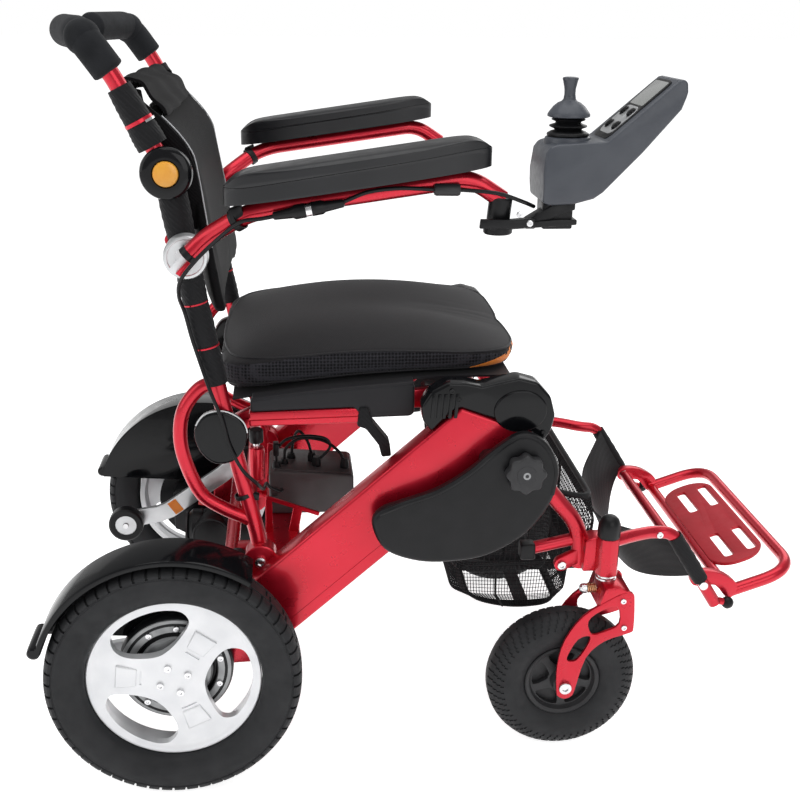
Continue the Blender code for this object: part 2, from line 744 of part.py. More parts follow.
# Front frame: side tubes, rockers, swivel barrels, cross tubes and footrest hangers
def build_front_frame():
    fx, fz = FOLD_PIVOT
    foot_x, foot_z = FOOT_PIVOT
    inner = UPRIGHT_Y - FRONT_TUBE_RADIUS
    outer = UPRIGHT_Y + FRONT_TUBE_RADIUS
    frame = None
    for s in (-1, 1):
        y = s * UPRIGHT_Y
        path = bent_path(side_path([(fx, fz), (0.4430, 0.4130), (0.4930, 0.3400), (0.5270, 0.2920),
                                    (0.5370, 0.2650), (0.5370, BARREL_BOTTOM_Z - 0.002)], y), 0.030)
        side_tube = tube(path, FRONT_TUBE_RADIUS)
        if frame is None:
            frame = add_object("front_frame", side_tube, FRONT_ORIGIN, RED)
        else:
            weld(frame, side_tube)
        eye = disc(FOLD_PIVOT, FOLD_EYE_RADIUS, s * (inner + 0.0008), s * (outer + 0.0007), 18)
        rocker = prism(link_outline(FOLD_PIVOT, ROCKER_PIVOT, 0.0150, 0.0120), s * (inner + 0.0005),
                       s * (UPRIGHT_Y + 0.004))
        barrel = turned([(0, BARREL_BOTTOM_Z), (BARREL_RADIUS, BARREL_BOTTOM_Z),
                         (BARREL_RADIUS, BARREL_TOP_Z),
                         (BARREL_RADIUS * 0.9, BARREL_TOP_Z), (CAP_RADIUS, BARREL_TOP_Z + 0.0005),
                         (CAP_RADIUS, BARREL_TOP_Z + CAP_HEIGHT * 0.55),
                         (CAP_RADIUS * 0.75, BARREL_TOP_Z + CAP_HEIGHT * 0.86),
                         (0, BARREL_TOP_Z + CAP_HEIGHT)],
                        (SWIVEL_X, s * CASTER_Y, 0), (0, 0, 1), 12)
        gusset = block(0.5320, SWIVEL_X - 0.002, y, s * (CASTER_Y - 0.002), BARREL_BOTTOM_Z + 0.002,
                       BARREL_TOP_Z - 0.003)
        ear = prism(link_outline((0.5300, BARREL_BOTTOM_Z + 0.0180), (0.5030, BARREL_BOTTOM_Z + 0.0040),
                                 0.0090, 0.0095), s * UPRIGHT_Y, s * (UPRIGHT_Y + 0.010))
        hanger = tube(bent_path([(SWIVEL_X, s * (CASTER_Y - 0.002), BARREL_TOP_Z - 0.0100),
                                 (0.5960, s * 0.2160, 0.2940),
                                 (0.6280, s * HANGER_Y, 0.2910), (0.6550, s * HANGER_Y, 0.2885),
                                 (foot_x + 0.0220, s * HANGER_Y, foot_z - 0.0320)], 0.022), HANGER_RADIUS)
        end = Vector((foot_x + 0.0400, s * HANGER_Y, foot_z - 0.0320))
        stop = ball(end, 0.0085)
        stop_arm = tube([end + Vector((-0.0200, 0, 0.0050)), end], 0.0050, 1)
        rest_arm = tube(side_path([(0.4660, 0.2740), (0.5330, 0.2880)], s * (UPRIGHT_Y - 0.003)),
                        0.0085)
        rest_block = block(0.4480, 0.4680, s * (UPRIGHT_Y - 0.012), s * (UPRIGHT_Y + 0.008), 0.2610,
                           0.2830)
        weld(frame, eye, rocker, gusset, barrel, ear, hanger, stop_arm, stop, rest_arm, rest_block)
    x, z = ROCKER_CROSS
    reach = UPRIGHT_Y - FRONT_TUBE_RADIUS + 0.004
    high = tube([Vector((x, -reach, z)), Vector((x, reach, z))], CROSS_TUBE_RADIUS)
    rod = tube([Vector((foot_x, -HANGER_Y, foot_z)), Vector((foot_x, HANGER_Y, foot_z))], FOOT_ROD_RADIUS)
    weld(frame, high, rod)


def link_outline(first, second, first_radius, second_radius):
    """Two round eyes joined by a straight web, as seen from the side."""
    a = Vector(first)
    b = Vector(second)
    heading = math.atan2(b.y - a.y, b.x - a.x)
    points = []
    for k in range(9):
        turn = heading + math.pi / 2 + math.pi * k / 8
        points.append((a.x + first_radius * math.cos(turn), a.y + first_radius * math.sin(turn)))
    for k in range(9):
        turn = heading - math.pi / 2 + math.pi * k / 8
        points.append((b.x + second_radius * math.cos(turn), b.y + second_radius * math.sin(turn)))
    return points


# Casters
# Side plates of the caster forks, measured from the wheel axle, with their two windows
FORK_PLATE_POINTS = [(-0.0110, -0.0050), (-0.0120, 0.0330), (-0.0040, 0.0700), (0.0190, 0.1050),
                     (0.0510, 0.1270),
                     (0.0760, 0.1380), (0.0830, 0.1330), (0.0850, 0.1240), (0.0870, 0.0860),
                     (0.0820, 0.0790),
                     (0.0500, 0.0690), (0.0260, 0.0430), (0.0140, -0.0040), (0.0100, -0.0140),
                     (0.0010, -0.0180),
                     (-0.0080, -0.0140)]
FORK_WINDOWS = [
    [(0.0260, 0.0970), (0.0410, 0.1110), (0.0630, 0.1170), (0.0670, 0.0920), (0.0490, 0.0815),
     (0.0320, 0.0780)],
    [(0.0020, 0.0490), (0.0140, 0.0710), (0.0290, 0.0750), (0.0270, 0.0620), (0.0140, 0.0410),
     (0.0020, 0.0400)],
]


def build_caster(side, s):
    y = s * CASTER_Y
    wheel_x = SWIVEL_X - CASTER_TRAIL
    swivel = (SWIVEL_X, y, FORK_TOP_Z)
    outline = [(wheel_x + x, CASTER_RADIUS + z) for x, z in FORK_PLATE_POINTS]
    plate_far = FORK_INSIDE + FORK_PLATE
    fork = add_object(f"caster_fork_{side}", prism(outline, y - plate_far, y - FORK_INSIDE), swivel,
                      RED)
    weld(fork, prism(outline, y + FORK_INSIDE, y + plate_far))
    crown = [(0.0340, 0.1100), (0.0440, FORK_RISE), (0.0700, FORK_RISE), (0.0850, 0.1320), (0.0850, 0.1260),
             (0.0620, 0.1330), (0.0440, 0.1100)]
    crown = [(wheel_x + x, CASTER_RADIUS + z) for x, z in crown]
    weld(fork, prism(crown, y - plate_far + 0.0012, y + plate_far - 0.0012))
    for window in FORK_WINDOWS:
        cut(fork, prism([(wheel_x + x, CASTER_RADIUS + z) for x, z in window], y - 0.04, y + 0.04))
    collar = turned([(0, FORK_TOP_Z - 0.004), (COLLAR_RADIUS, FORK_TOP_Z - 0.004),
                     (COLLAR_RADIUS, BARREL_BOTTOM_Z - GAP), (0, BARREL_BOTTOM_Z - GAP)],
                    (SWIVEL_X, y, 0), (0, 0, 1), 16)
    axle = disc((wheel_x, CASTER_RADIUS), CASTER_AXLE_RADIUS, y - plate_far + 0.001,
                y + plate_far - 0.001, 12)
    weld(fork, collar, axle)

    centre = (wheel_x, y, CASTER_RADIUS)
    half = CASTER_WIDTH / 2
    hub = CASTER_HUB_RADIUS
    tyre = [(CASTER_RADIUS, -half * 0.30), (CASTER_RADIUS, half * 0.30),
            (CASTER_RADIUS - 0.009, half * 0.78),
            (hub + 0.022, half), (hub + GAP, half * 0.70), (hub + GAP, -half * 0.70),
            (hub + 0.022, -half),
            (CASTER_RADIUS - 0.009, -half * 0.78)]
    add_object(f"caster_tyre_{side}", turned(tyre, centre, (0, 1, 0), CASTER_STEPS), centre,
               TYRE_RUBBER)
    bore = CASTER_AXLE_RADIUS + GAP
    hub_half = FORK_INSIDE - GAP
    core = [(hub, -0.016), (hub, 0.016), (hub - 0.010, 0.010), (0.011, hub_half), (bore, hub_half),
            (bore, -hub_half), (0.011, -hub_half), (hub - 0.010, -0.010)]
    wheel = add_object(f"caster_hub_{side}", turned(core, centre, (0, 1, 0), CASTER_STEPS), centre,
                       GREY_PLASTIC)
    for k in range(5):
        a = math.tau * (k + 0.25) / 5
        place = (wheel_x + 0.0250 * math.cos(a), CASTER_RADIUS + 0.0250 * math.sin(a))
        cut(wheel, disc(place, 0.0080, y - 0.03, y + 0.03, 6))


# Footrest: a bent tube, its side brackets and the slotted plate
def build_footrest():
    slope = math.tan(math.radians(FOOT_SLOPE))

    def height(x):
        return FOOT_REAR_Z + (x - FOOT_REAR_X) * slope

    y = FOOT_TUBE_Y
    path = bent_path([(FOOT_REAR_X, -y, FOOT_REAR_Z), (FOOT_FRONT_X, -y, height(FOOT_FRONT_X)),
                      (FOOT_FRONT_X, y, height(FOOT_FRONT_X)), (FOOT_REAR_X, y, FOOT_REAR_Z)],
                      FOOT_CORNER, 5)
    px, pz = FOOT_PIVOT
    rest = add_object("footrest", tube(path, FOOT_TUBE_RADIUS), (px, 0, pz), RED)
    weld(rest,
         tube([Vector((FOOT_REAR_X + 0.003, -y, FOOT_REAR_Z)),
               Vector((FOOT_REAR_X + 0.003, y, FOOT_REAR_Z))],
                    FOOT_TUBE_RADIUS * 0.9))
    for s in (-1, 1):
        arch = [(px - 0.011, pz), (px - 0.008, pz + 0.008), (px + 0.006, pz + 0.012),
                (px + 0.030, pz + 0.008),
                (px + 0.054, pz - 0.008), (px + 0.052, pz - 0.026), (px + 0.042, pz - 0.030),
                (px + 0.024, pz - 0.010),
                (px + 0.004, pz - 0.011), (px - 0.008, pz - 0.008)]
        weld(rest, prism(arch, s * (y - 0.004), s * (HANGER_Y - HANGER_RADIUS - GAP)))
        cut(rest, disc(FOOT_PIVOT, FOOT_ROD_RADIUS + GAP, s * (y - 0.02), s * (HANGER_Y + 0.02), 12))
    rear = FOOT_REAR_X + 0.002
    front = rear + PLATE_DEPTH
    lift = 0.0040
    plate = prism([(rear, height(rear) + lift), (front, height(front) + lift),
                   (front, height(front) + lift + PLATE_THICKNESS),
                   (rear, height(rear) + lift + PLATE_THICKNESS)],
                  -PLATE_HALF_WIDTH, PLATE_HALF_WIDTH)
    weld(rest, plate)
    for x in (rear + PLATE_DEPTH * 0.36, rear + PLATE_DEPTH * 0.80):
        for s in (-1, 1):
            middle = s * 0.0760
            cut(rest, block(x - SLOT_WIDTH / 2, x + SLOT_WIDTH / 2, middle - SLOT_HALF_LENGTH,
                            middle + SLOT_HALF_LENGTH, height(x) - 0.02, height(x) + 0.03))


def build_calf_strap():
    """A cloth band stretched between the hangers, hanging back in the middle."""
    upper = Vector((FOOT_PIVOT[0] - 0.0450, 0, FOOT_PIVOT[1] + 0.0720))
    lower = Vector((FOOT_PIVOT[0] - 0.0155, 0, FOOT_PIVOT[1] + 0.0220))
    upper_sag = Vector((-0.0580, 0, -0.0460))
    lower_sag = Vector((-0.0500, 0, -0.0650))
    reach = HANGER_Y - HANGER_RADIUS - 0.0012
    columns = 12
    rows = 3
    bm = bmesh.new()
    grid = []
    for i in range(columns + 1):
        across = -1 + 2 * i / columns
        sag = 1 - abs(across) ** 2.2
        line = []
        for j in range(rows + 1):
            t = j / rows
            place = upper.lerp(lower, t) + upper_sag.lerp(lower_sag, t) * sag
            line.append(bm.verts.new((place.x, across * reach, place.z)))
        grid.append(line)
    for i in range(columns):
        for j in range(rows):
            bm.faces.new((grid[i][j], grid[i + 1][j], grid[i + 1][j + 1], grid[i][j + 1]))
    strap = add_object("calf_strap", bm, FRONT_ORIGIN, FABRIC)
    thickness = strap.modifiers.new("Cloth thickness", "SOLIDIFY")
    thickness.thickness = STRAP_THICKNESS
    thickness.offset = 0


def build_bag():
    """An open-topped net bag that narrows below the height where the casters swing round."""
    def ring(bm, rear, front, half, z, inset):
        rear += inset
        front -= inset
        half -= inset
        cut_off = 0.022
        plan = [(rear, -half + cut_off), (rear + cut_off * 0.3, -half + cut_off * 0.3),
                (rear + cut_off, -half),
                (front - cut_off, -half), (front - cut_off * 0.3, -half + cut_off * 0.3),
                (front, -half + cut_off)]
        plan += [(x, -y) for x, y in plan[::-1]]
        heights = [z - BAG_RIM_FALL * (x - rear) / (front - rear) if z > 0.35 else z for x, y in plan]
        return [bm.verts.new((x, y, h)) for (x, y), h in zip(plan, heights)]

    bm = bmesh.new()
    outer = [ring(bm, *level, 0) for level in BAG_LEVELS]
    inner = [ring(bm, *level, BAG_WALL) for level in BAG_LEVELS[1:]]
    floor = BAG_LEVELS[0]
    base = ring(bm, floor[0], floor[1], floor[2], floor[3] + BAG_WALL, BAG_WALL)
    rings = outer + inner[::-1] + [base]
    for lower, upper in zip(rings, rings[1:]):
        count = len(lower)
        for k in range(count):
            j = (k + 1) % count
            bm.faces.new((lower[k], lower[j], upper[j], upper[k]))
    bm.faces.new(rings[0][::-1])
    bm.faces.new(rings[-1])
    add_object("under_seat_bag", bm, FRONT_ORIGIN, FABRIC)


# Seat
def seat_floor(x):
    """Height of the cushion's underside at x."""
    ahead = x - SEAT_FLOOR_START[0]
    return SEAT_FLOOR_START[1] + SEAT_FLOOR_RISE * ahead - SEAT_FLOOR_ROUNDING * ahead * ahead


def build_seat():
    px, pz = SEAT_PIVOT
    qx, qz = ROCKER_PIVOT
    origin = (px, 0, pz)
    frame = None
    for s in (-1, 1):
        rail = prism(RAIL_OUTLINE, s * RAIL_INNER_Y, s * RAIL_OUTER_Y)
        if frame is None:
            frame = add_object("seat_frame", rail, origin, RED)
        else:
            weld(frame, rail)
        low, high = SEAT_INNER_BAR_Y
        bar = [(px - 0.013, pz - 0.004), (px - 0.009, pz + 0.011), (px + 0.004, pz + 0.014),
               (px + 0.035, 0.4790),
               (0.2400, 0.4900), (qx - 0.006, qz + 0.012), (qx + 0.010, qz + 0.008),
               (qx + 0.012, qz - 0.006),
               (qx, qz - 0.012), (0.2440, 0.4700), (px + 0.040, 0.4600), (px + 0.004, pz - 0.013),
               (px - 0.009, pz - 0.010)]
        weld(frame, prism(bar, s * low, s * (high + 0.0002)))
    for s in (-1, 1):
        for x in (0.1400, 0.2000):
            weld(frame, block(x - 0.010, x + 0.010, s * 0.1920, s * 0.1960, 0.4620, 0.4740))
    for x, z in ((0.1500, 0.4740), (0.3000, 0.4815)):
        ends = SEAT_INNER_BAR_Y[0] + 0.006
        weld(frame, tube([Vector((x, -ends, z)), Vector((x, ends, z))], 0.0075))

    steps = [PANEL_REAR_X + (PANEL_FRONT_X - PANEL_REAR_X) * k / 6 for k in range(7)]
    panel = [(x, seat_floor(x) - 3 * GAP) for x in steps]
    panel += [(x, seat_floor(x) - SLING_THICKNESS) for x in steps[::-1]]
    half = CUSHION_HALF_WIDTH + 0.002
    sling = add_object("seat_sling", prism(panel, -half, half), origin, FABRIC)
    skirt_inner = SEAT_INNER_BAR_Y[1] + 2 * GAP
    shelf = [(0.1040, 0.4890), (0.2000, 0.4985), (0.3040, 0.5040), (0.3040, 0.5130), (0.2000, 0.5050),
             (0.1040, 0.4950)]
    for s in (-1, 1):
        weld(sling, prism(SKIRT_OUTLINE, s * skirt_inner, s * RAIL_OUTER_Y))
        weld(sling, prism(shelf, s * (half - 0.003), s * (RAIL_OUTER_Y - 0.001)))

    add_cushion(origin)


def add_cushion(origin):
    """Box cushion with drawn-in sides, a crown and two soft channels along the thighs."""
    bm = bmesh.new()
    length = CUSHION_FRONT_X - CUSHION_REAR_X

    def outline(t, share):
        """Plan point at share 0 (middle) to 1 (edge) of a rounded square, walking round it by t."""
        side, along = divmod(t * 4, 1)
        along = 2 * along - 1
        u, v = [(1, along), (-along, 1), (-1, -along), (along, -1)][int(side)]
        power = CUSHION_SQUARENESS
        pull = share * (abs(u) ** power + abs(v) ** power) ** (-1 / power)
        return u * pull, v * pull

    def place(u, v, level, draw):
        x = CUSHION_REAR_X + length * (0.5 + 0.5 * u * draw)
        y = CUSHION_HALF_WIDTH * v * draw
        floor = seat_floor(x)
        side = CUSHION_SIDE_HEIGHT
        if level == "top":
            rise = (1 - abs(u) ** (2.6 if u > 0 else 4.0)) * (1 - abs(v) ** 4.0)
            dip = CUSHION_CHANNEL * math.exp(-((abs(v) - 0.48) / 0.16) ** 2) * max(0.0, u) ** 1.2
            z = floor + side + CUSHION_CROWN * rise - dip
        else:
            z = floor + side * level
        return (x, y, z)

    spots = 32
    levels = [(0.0, 0.955), (0.12, 0.985), (0.5, 0.992), (0.85, 1.0), (1.0, 0.990)]
    rings = []
    for level, draw in levels:
        ring = []
        for k in range(spots):
            u, v = outline((k + 0.5) / spots, 1.0)
            ring.append(bm.verts.new(place(u, v, level, draw)))
        rings.append(ring)
    for share in (0.92, 0.76, 0.56, 0.34, 0.14):
        ring = []
        for k in range(spots):
            u, v = outline((k + 0.5) / spots, share)
            ring.append(bm.verts.new(place(u, v, "top", 1.0)))
        rings.append(ring)
    for share in (0.66, 0.36, 0.12):
        ring = []
        for k in range(spots):
            u, v = outline((k + 0.5) / spots, share)
            ring.append(bm.verts.new(place(u, v, 0.0, levels[0][1])))
        rings.insert(0, ring)
    for lower, upper in zip(rings, rings[1:]):
        for k in range(spots):
            j = (k + 1) % spots
            bm.faces.new((lower[k], lower[j], upper[j], upper[k]))
    bm.faces.new(rings[-1])
    bm.faces.new(rings[0][::-1])
    add_object("seat_cushion", bm, origin, FABRIC)


# Back: uprights, bows, cross tubes and pivot covers
def build_back():
    lx, lz = LINK_PIVOT
    origin = (lx, 0, lz)
    frame = None
    for s in (-1, 1):
        y = s * UPRIGHT_Y
        points = [LINK_PIVOT, UPRIGHT_FOOT, SEAT_PIVOT, UPRIGHT_KNEE, HUB]
        upright = tube(bent_path(side_path(points, y), 0.040, 3), UPRIGHT_RADIUS)
        if frame is None:
            frame = add_object("back_frame", upright, origin, RED)
        else:
            weld(frame, upright)
        low_eye = disc(LINK_PIVOT, EAR_RADIUS - 0.001, s * (UPRIGHT_Y - 0.009),
                       s * (BEAM_INNER_Y - GAP), 16)
        hub_eye = disc(HUB, HUB_EYE_RADIUS, s * (UPRIGHT_Y - 0.0095), s * (HUB_INNER_Y - GAP), 18)
        bow = tube(smooth_path(side_path(BOW_POINTS, y), 2), BOW_RADIUS)
        cover = prism(smooth_loop(PIVOT_COVER_POINTS, 2), s * (UPRIGHT_Y + UPRIGHT_RADIUS - 0.002),
                      s * (UPRIGHT_Y + UPRIGHT_RADIUS + PIVOT_COVER_THICKNESS))
        boss = disc(ARM_PIVOT, 0.0120, s * (UPRIGHT_Y + 0.004), s * (ARM_DISC_INNER_Y - GAP), 14)
        weld(frame, low_eye, hub_eye, bow, cover, boss)
    for x, z in ((0.0965, 0.3420), (0.0170, 0.6900)):
        weld(frame, tube([Vector((x, -UPRIGHT_Y, z)), Vector((x, UPRIGHT_Y, z))], 0.0080))

    def ahead(z):
        """x of the upholstery's rear face at height z."""
        if z < UPRIGHT_KNEE[1]:
            share = (z - SEAT_PIVOT[1]) / (UPRIGHT_KNEE[1] - SEAT_PIVOT[1])
            line = SEAT_PIVOT[0] + (UPRIGHT_KNEE[0] - SEAT_PIVOT[0]) * share
        else:
            share = (z - UPRIGHT_KNEE[1]) / (HUB[1] - UPRIGHT_KNEE[1])
            line = UPRIGHT_KNEE[0] + (HUB[0] - UPRIGHT_KNEE[0]) * share
        return line + UPHOLSTERY_AHEAD - UPHOLSTERY_THICKNESS

    levels = 8
    front = []
    rear = []
    for k in range(levels + 1):
        z = UPHOLSTERY_LOW_Z + (UPHOLSTERY_TOP_Z - UPHOLSTERY_LOW_Z) * k / levels
        lean = 0.075 * max(0.0, (z - 0.780) / 0.060) ** 1.6
        rear.append((ahead(z) - lean * 0.5, z))
        front.append((ahead(z) + UPHOLSTERY_THICKNESS - lean * 0.5, z))
    bm = bmesh.new()
    spots = 8
    strips = []
    for line, hollow in ((front, -0.010), (rear, -0.010)):
        sheet = []
        for x, z in line:
            row = []
            half = UPHOLSTERY_HALF_WIDTH if z > UPHOLSTERY_SHOULDER_Z else UPRIGHT_Y
            for j in range(spots + 1):
                v = -1 + 2 * j / spots
                row.append(bm.verts.new((x + hollow * (1 - v * v), v * half, z)))
            sheet.append(row)
        strips.append(sheet)
    first, second = strips
    for sheet in strips:
        for k in range(levels):
            for j in range(spots):
                bm.faces.new((sheet[k][j], sheet[k + 1][j], sheet[k + 1][j + 1], sheet[k][j + 1]))
    for k in range(levels):
        for j in (0, spots):
            bm.faces.new((first[k][j], first[k + 1][j], second[k + 1][j], second[k][j]))
    for k in (0, levels):
        for j in range(spots):
            bm.faces.new((first[k][j], first[k][j + 1], second[k][j + 1], second[k][j]))
    add_object("back_upholstery", bm, origin, FABRIC)

    profile = [(0, 0.3505), (0.0075, 0.3505), (0.0105, 0.3560), (0.0105, 0.3980), (0.0045, 0.4000),
               (0.0045, 0.4150),
               (0.0070, 0.4160), (0.0070, 0.4220), (0, 0.4220)]
    damper = turned(profile, (0.1000, -DAMPER_Y, 0), (0, 0, 1), 12)
    add_object("seat_damper", damper, origin, RED)


# Push handles above the hubs
def build_handle(side, s):
    hx, hz = HUB
    origin = (hx, 0, hz)
    elbow = Vector((HANDLE_ELBOW[0], s * HANDLE_TUBE_Y, HANDLE_ELBOW[1]))
    hub = Vector((hx, s * HANDLE_TUBE_Y, hz))
    knee = Vector((HANDLE_KNEE[0], s * HANDLE_TUBE_Y, HANDLE_KNEE[1]))
    rise = (knee - hub).normalized()
    end = elbow + Vector((-GRIP_BACK, -s * GRIP_INWARD, 0))
    core = [hub + rise * (HUB_EYE_RADIUS + 0.003), knee, elbow, end]
    hub_disc = turned([(BUTTON_RADIUS + GAP, HUB_OUTER_Y), (HUB_RADIUS - 0.004, HUB_OUTER_Y),
                       (HUB_RADIUS, HUB_OUTER_Y - 0.005), (HUB_RADIUS, HUB_INNER_Y), (0, HUB_INNER_Y),
                       (0, HUB_OUTER_Y - BUTTON_HEIGHT),
                       (BUTTON_RADIUS + GAP, HUB_OUTER_Y - BUTTON_HEIGHT)],
                      (hx, 0, hz), (0, s, 0), 18)
    handle = add_object(f"handle_{side}", hub_disc, origin, RED)
    weld(handle, tube(bent_path(core, GRIP_ELBOW_BEND), HANDLE_TUBE_RADIUS))

    start = knee.lerp(elbow, 0.06)
    ahead = (end - elbow).normalized()
    foam = tube(bent_path([start, elbow, end + ahead * 0.010], GRIP_ELBOW_BEND), GRIP_RADIUS)
    grip = add_object(f"grip_{side}", foam, origin, FOAM)
    hollow_end = end + ahead * GAP
    cut(grip, tube(bent_path([hub + rise * 0.06, knee, elbow, hollow_end], GRIP_ELBOW_BEND),
                   HANDLE_TUBE_RADIUS + GAP))

    low = HUB_OUTER_Y - BUTTON_HEIGHT + BUTTON_TRAVEL + 0.0006
    button = turned([(0, low), (BUTTON_RADIUS, low), (BUTTON_RADIUS, HUB_OUTER_Y + 0.0030),
                     (BUTTON_RADIUS - 0.003, HUB_OUTER_Y + 0.0045), (0, HUB_OUTER_Y + 0.0052)],
                    (hx, 0, hz), (0, s, 0), 16)
    add_object(f"handle_button_{side}", button, (hx, s * HUB_OUTER_Y, hz), ORANGE)


# Armrests
def build_armrest(side, s):
    ax, az = ARM_PIVOT
    origin = (ax, s * ARM_DISC_INNER_Y, az)
    plate = turned([(0, ARM_DISC_INNER_Y), (ARM_DISC_RADIUS, ARM_DISC_INNER_Y),
                    (ARM_DISC_RADIUS, ARM_DISC_OUTER_Y - 0.004),
                    (ARM_DISC_RADIUS - 0.004, ARM_DISC_OUTER_Y - GAP),
                    (0, ARM_DISC_OUTER_Y - GAP)], (ax, 0, az), (0, s, 0), 18)
    add_object(f"arm_pivot_{side}", plate, origin, CHROME)

    slope = (PAD_FRONT[1] - PAD_REAR[1]) / (PAD_FRONT[0] - PAD_REAR[0])
    under = ARM_TUBE_RADIUS + GAP + 0.0004
    rear = 0.1120
    front = 0.3560
    line = [(0.0160, s * ARM_TUBE_INNER_Y, 0.6560), (0.0560, s * ARM_TUBE_INNER_Y, 0.7000),
            (rear, s * ARM_TUBE_OUTER_Y, PAD_REAR[1] + (rear - PAD_REAR[0]) * slope - under),
            (front, s * ARM_TUBE_OUTER_Y, PAD_REAR[1] + (front - PAD_REAR[0]) * slope - under),
            (0.3930, s * ARM_TUBE_OUTER_Y, 0.7470)]
    arm = add_object(f"arm_tube_{side}", tube(bent_path(line, 0.024), ARM_TUBE_RADIUS), origin, RED)
    socket = turned([(0, 0), (0.0130, 0), (0.0130, 0.0270), (0, 0.0270)],
                    (0.3915, s * ARM_TUBE_OUTER_Y, 0.7500),
                    (-0.10, 0, -1), 14)
    weld(arm, socket)

    height = PAD_HEIGHT
    end = PAD_END_RADIUS
    x0, z0 = PAD_REAR
    x1, z1 = PAD_FRONT
    pad_side = [(x0 + 0.006, z0), (x1 - 0.006, z1), (x1, z1 + 0.006), (x1, z1 + height - end),
                (x1 - 0.004, z1 + height - end * 0.45), (x1 - end, z1 + height),
                (x0 + end, z0 + height),
                (x0 + 0.004, z0 + height - end * 0.45), (x0, z0 + height - end), (x0, z0 + 0.006)]
    pad = prism(pad_side, s * PAD_INNER_Y, s * PAD_OUTER_Y)
    cushion = add_object(f"arm_pad_{side}", pad, origin, BLACK_MATT)
    round_edges(cushion, 0.0060, 2, 50)


# Drive control on the right armrest
def build_control():
    y0 = -CONTROL_Y - CONTROL_HALF_WIDTH
    y1 = -CONTROL_Y + CONTROL_HALF_WIDTH
    origin = (ARM_PIVOT[0], -ARM_DISC_INNER_Y, ARM_PIVOT[1])
    body = add_object("drive_control", prism(CONTROL_OUTLINE, y0, y1), origin, BLUE_GREY)
    round_edges(body, 0.0060, 2, 60)
    x0, x1, z0, z1 = CONTROL_BRACKET
    arm_y = ARM_TUBE_OUTER_Y
    weld(body, block(x0, x1, -arm_y - 0.016, -arm_y + 0.016, z0 - 0.006, z0 + 0.0010))
    weld(body, block(0.4360, 0.4740, -arm_y - 0.012, -arm_y + 0.012, z0, 0.7460))

    sx, sz = STICK
    stick = (sx, -CONTROL_Y, sz)
    weld(body, disc_up((sx, -CONTROL_Y), STICK_BASE_RADIUS + 0.002, sz - 0.014, STICK_SEAT_Z))
    base = STICK_SEAT_Z + GAP - 0.004
    boot_profile = [(0.0060, base + 0.004), (STICK_BASE_RADIUS, base + 0.004),
                    (STICK_BASE_RADIUS, base + 0.008),
                    (0.0150, base + 0.0105), (0.0210, base + 0.0140), (0.0150, base + 0.0175),
                    (0.0190, base + 0.0205),
                    (0.0120, base + 0.0235), (0.0060, base + 0.0235)]
    boot = turned(boot_profile, (sx, -CONTROL_Y, 0), (0, 0, 1), 14)
    add_object("joystick_boot", boot, stick, BLACK_MATT)
    top = base + 0.0235 + GAP
    stick_profile = [(0, base + 0.006), (0.0050, base + 0.006), (0.0050, top), (0.0230, top + 0.0010),
                     (0.0235, top + 0.0030), (0.0120, top + 0.0170), (0.0068, top + 0.0190),
                     (0.0062, top + 0.0300),
                     (0.0088, top + 0.0400), (0.0080, top + 0.0425), (0, top + 0.0430)]
    knob = turned(stick_profile, (sx, -CONTROL_Y, 0), (0, 0, 1), 14)
    add_object("joystick", knob, stick, BLUE_GREY)

    low = Vector((CONTROL_OUTLINE[3][0], 0, CONTROL_OUTLINE[3][1]))
    high = Vector((CONTROL_OUTLINE[4][0], 0, CONTROL_OUTLINE[4][1]))
    along = high - low
    normal = Vector((-along.z, 0, along.x)).normalized()
    for number, (share, across) in enumerate(KEY_PLACES, 1):
        seat = low + along * share + Vector((0, -CONTROL_Y + across, 0))
        sink = KEY_TRAVEL + 0.0020
        well = turned([(0, -sink), (KEY_RADIUS + GAP, -sink), (KEY_RADIUS + GAP, 0.004), (0, 0.004)],
                      seat, normal, 10)
        cut(body, well)
        profile = [(0, -sink + KEY_TRAVEL + GAP), (KEY_RADIUS, -sink + KEY_TRAVEL + GAP),
                   (KEY_RADIUS, 0.0012),
                   (KEY_RADIUS - 0.0018, KEY_HEIGHT - sink), (0, KEY_HEIGHT - sink + 0.0004)]
        add_object(f"key_{number}", turned(profile, seat, normal, 10), seat, BLACK_GLOSS)


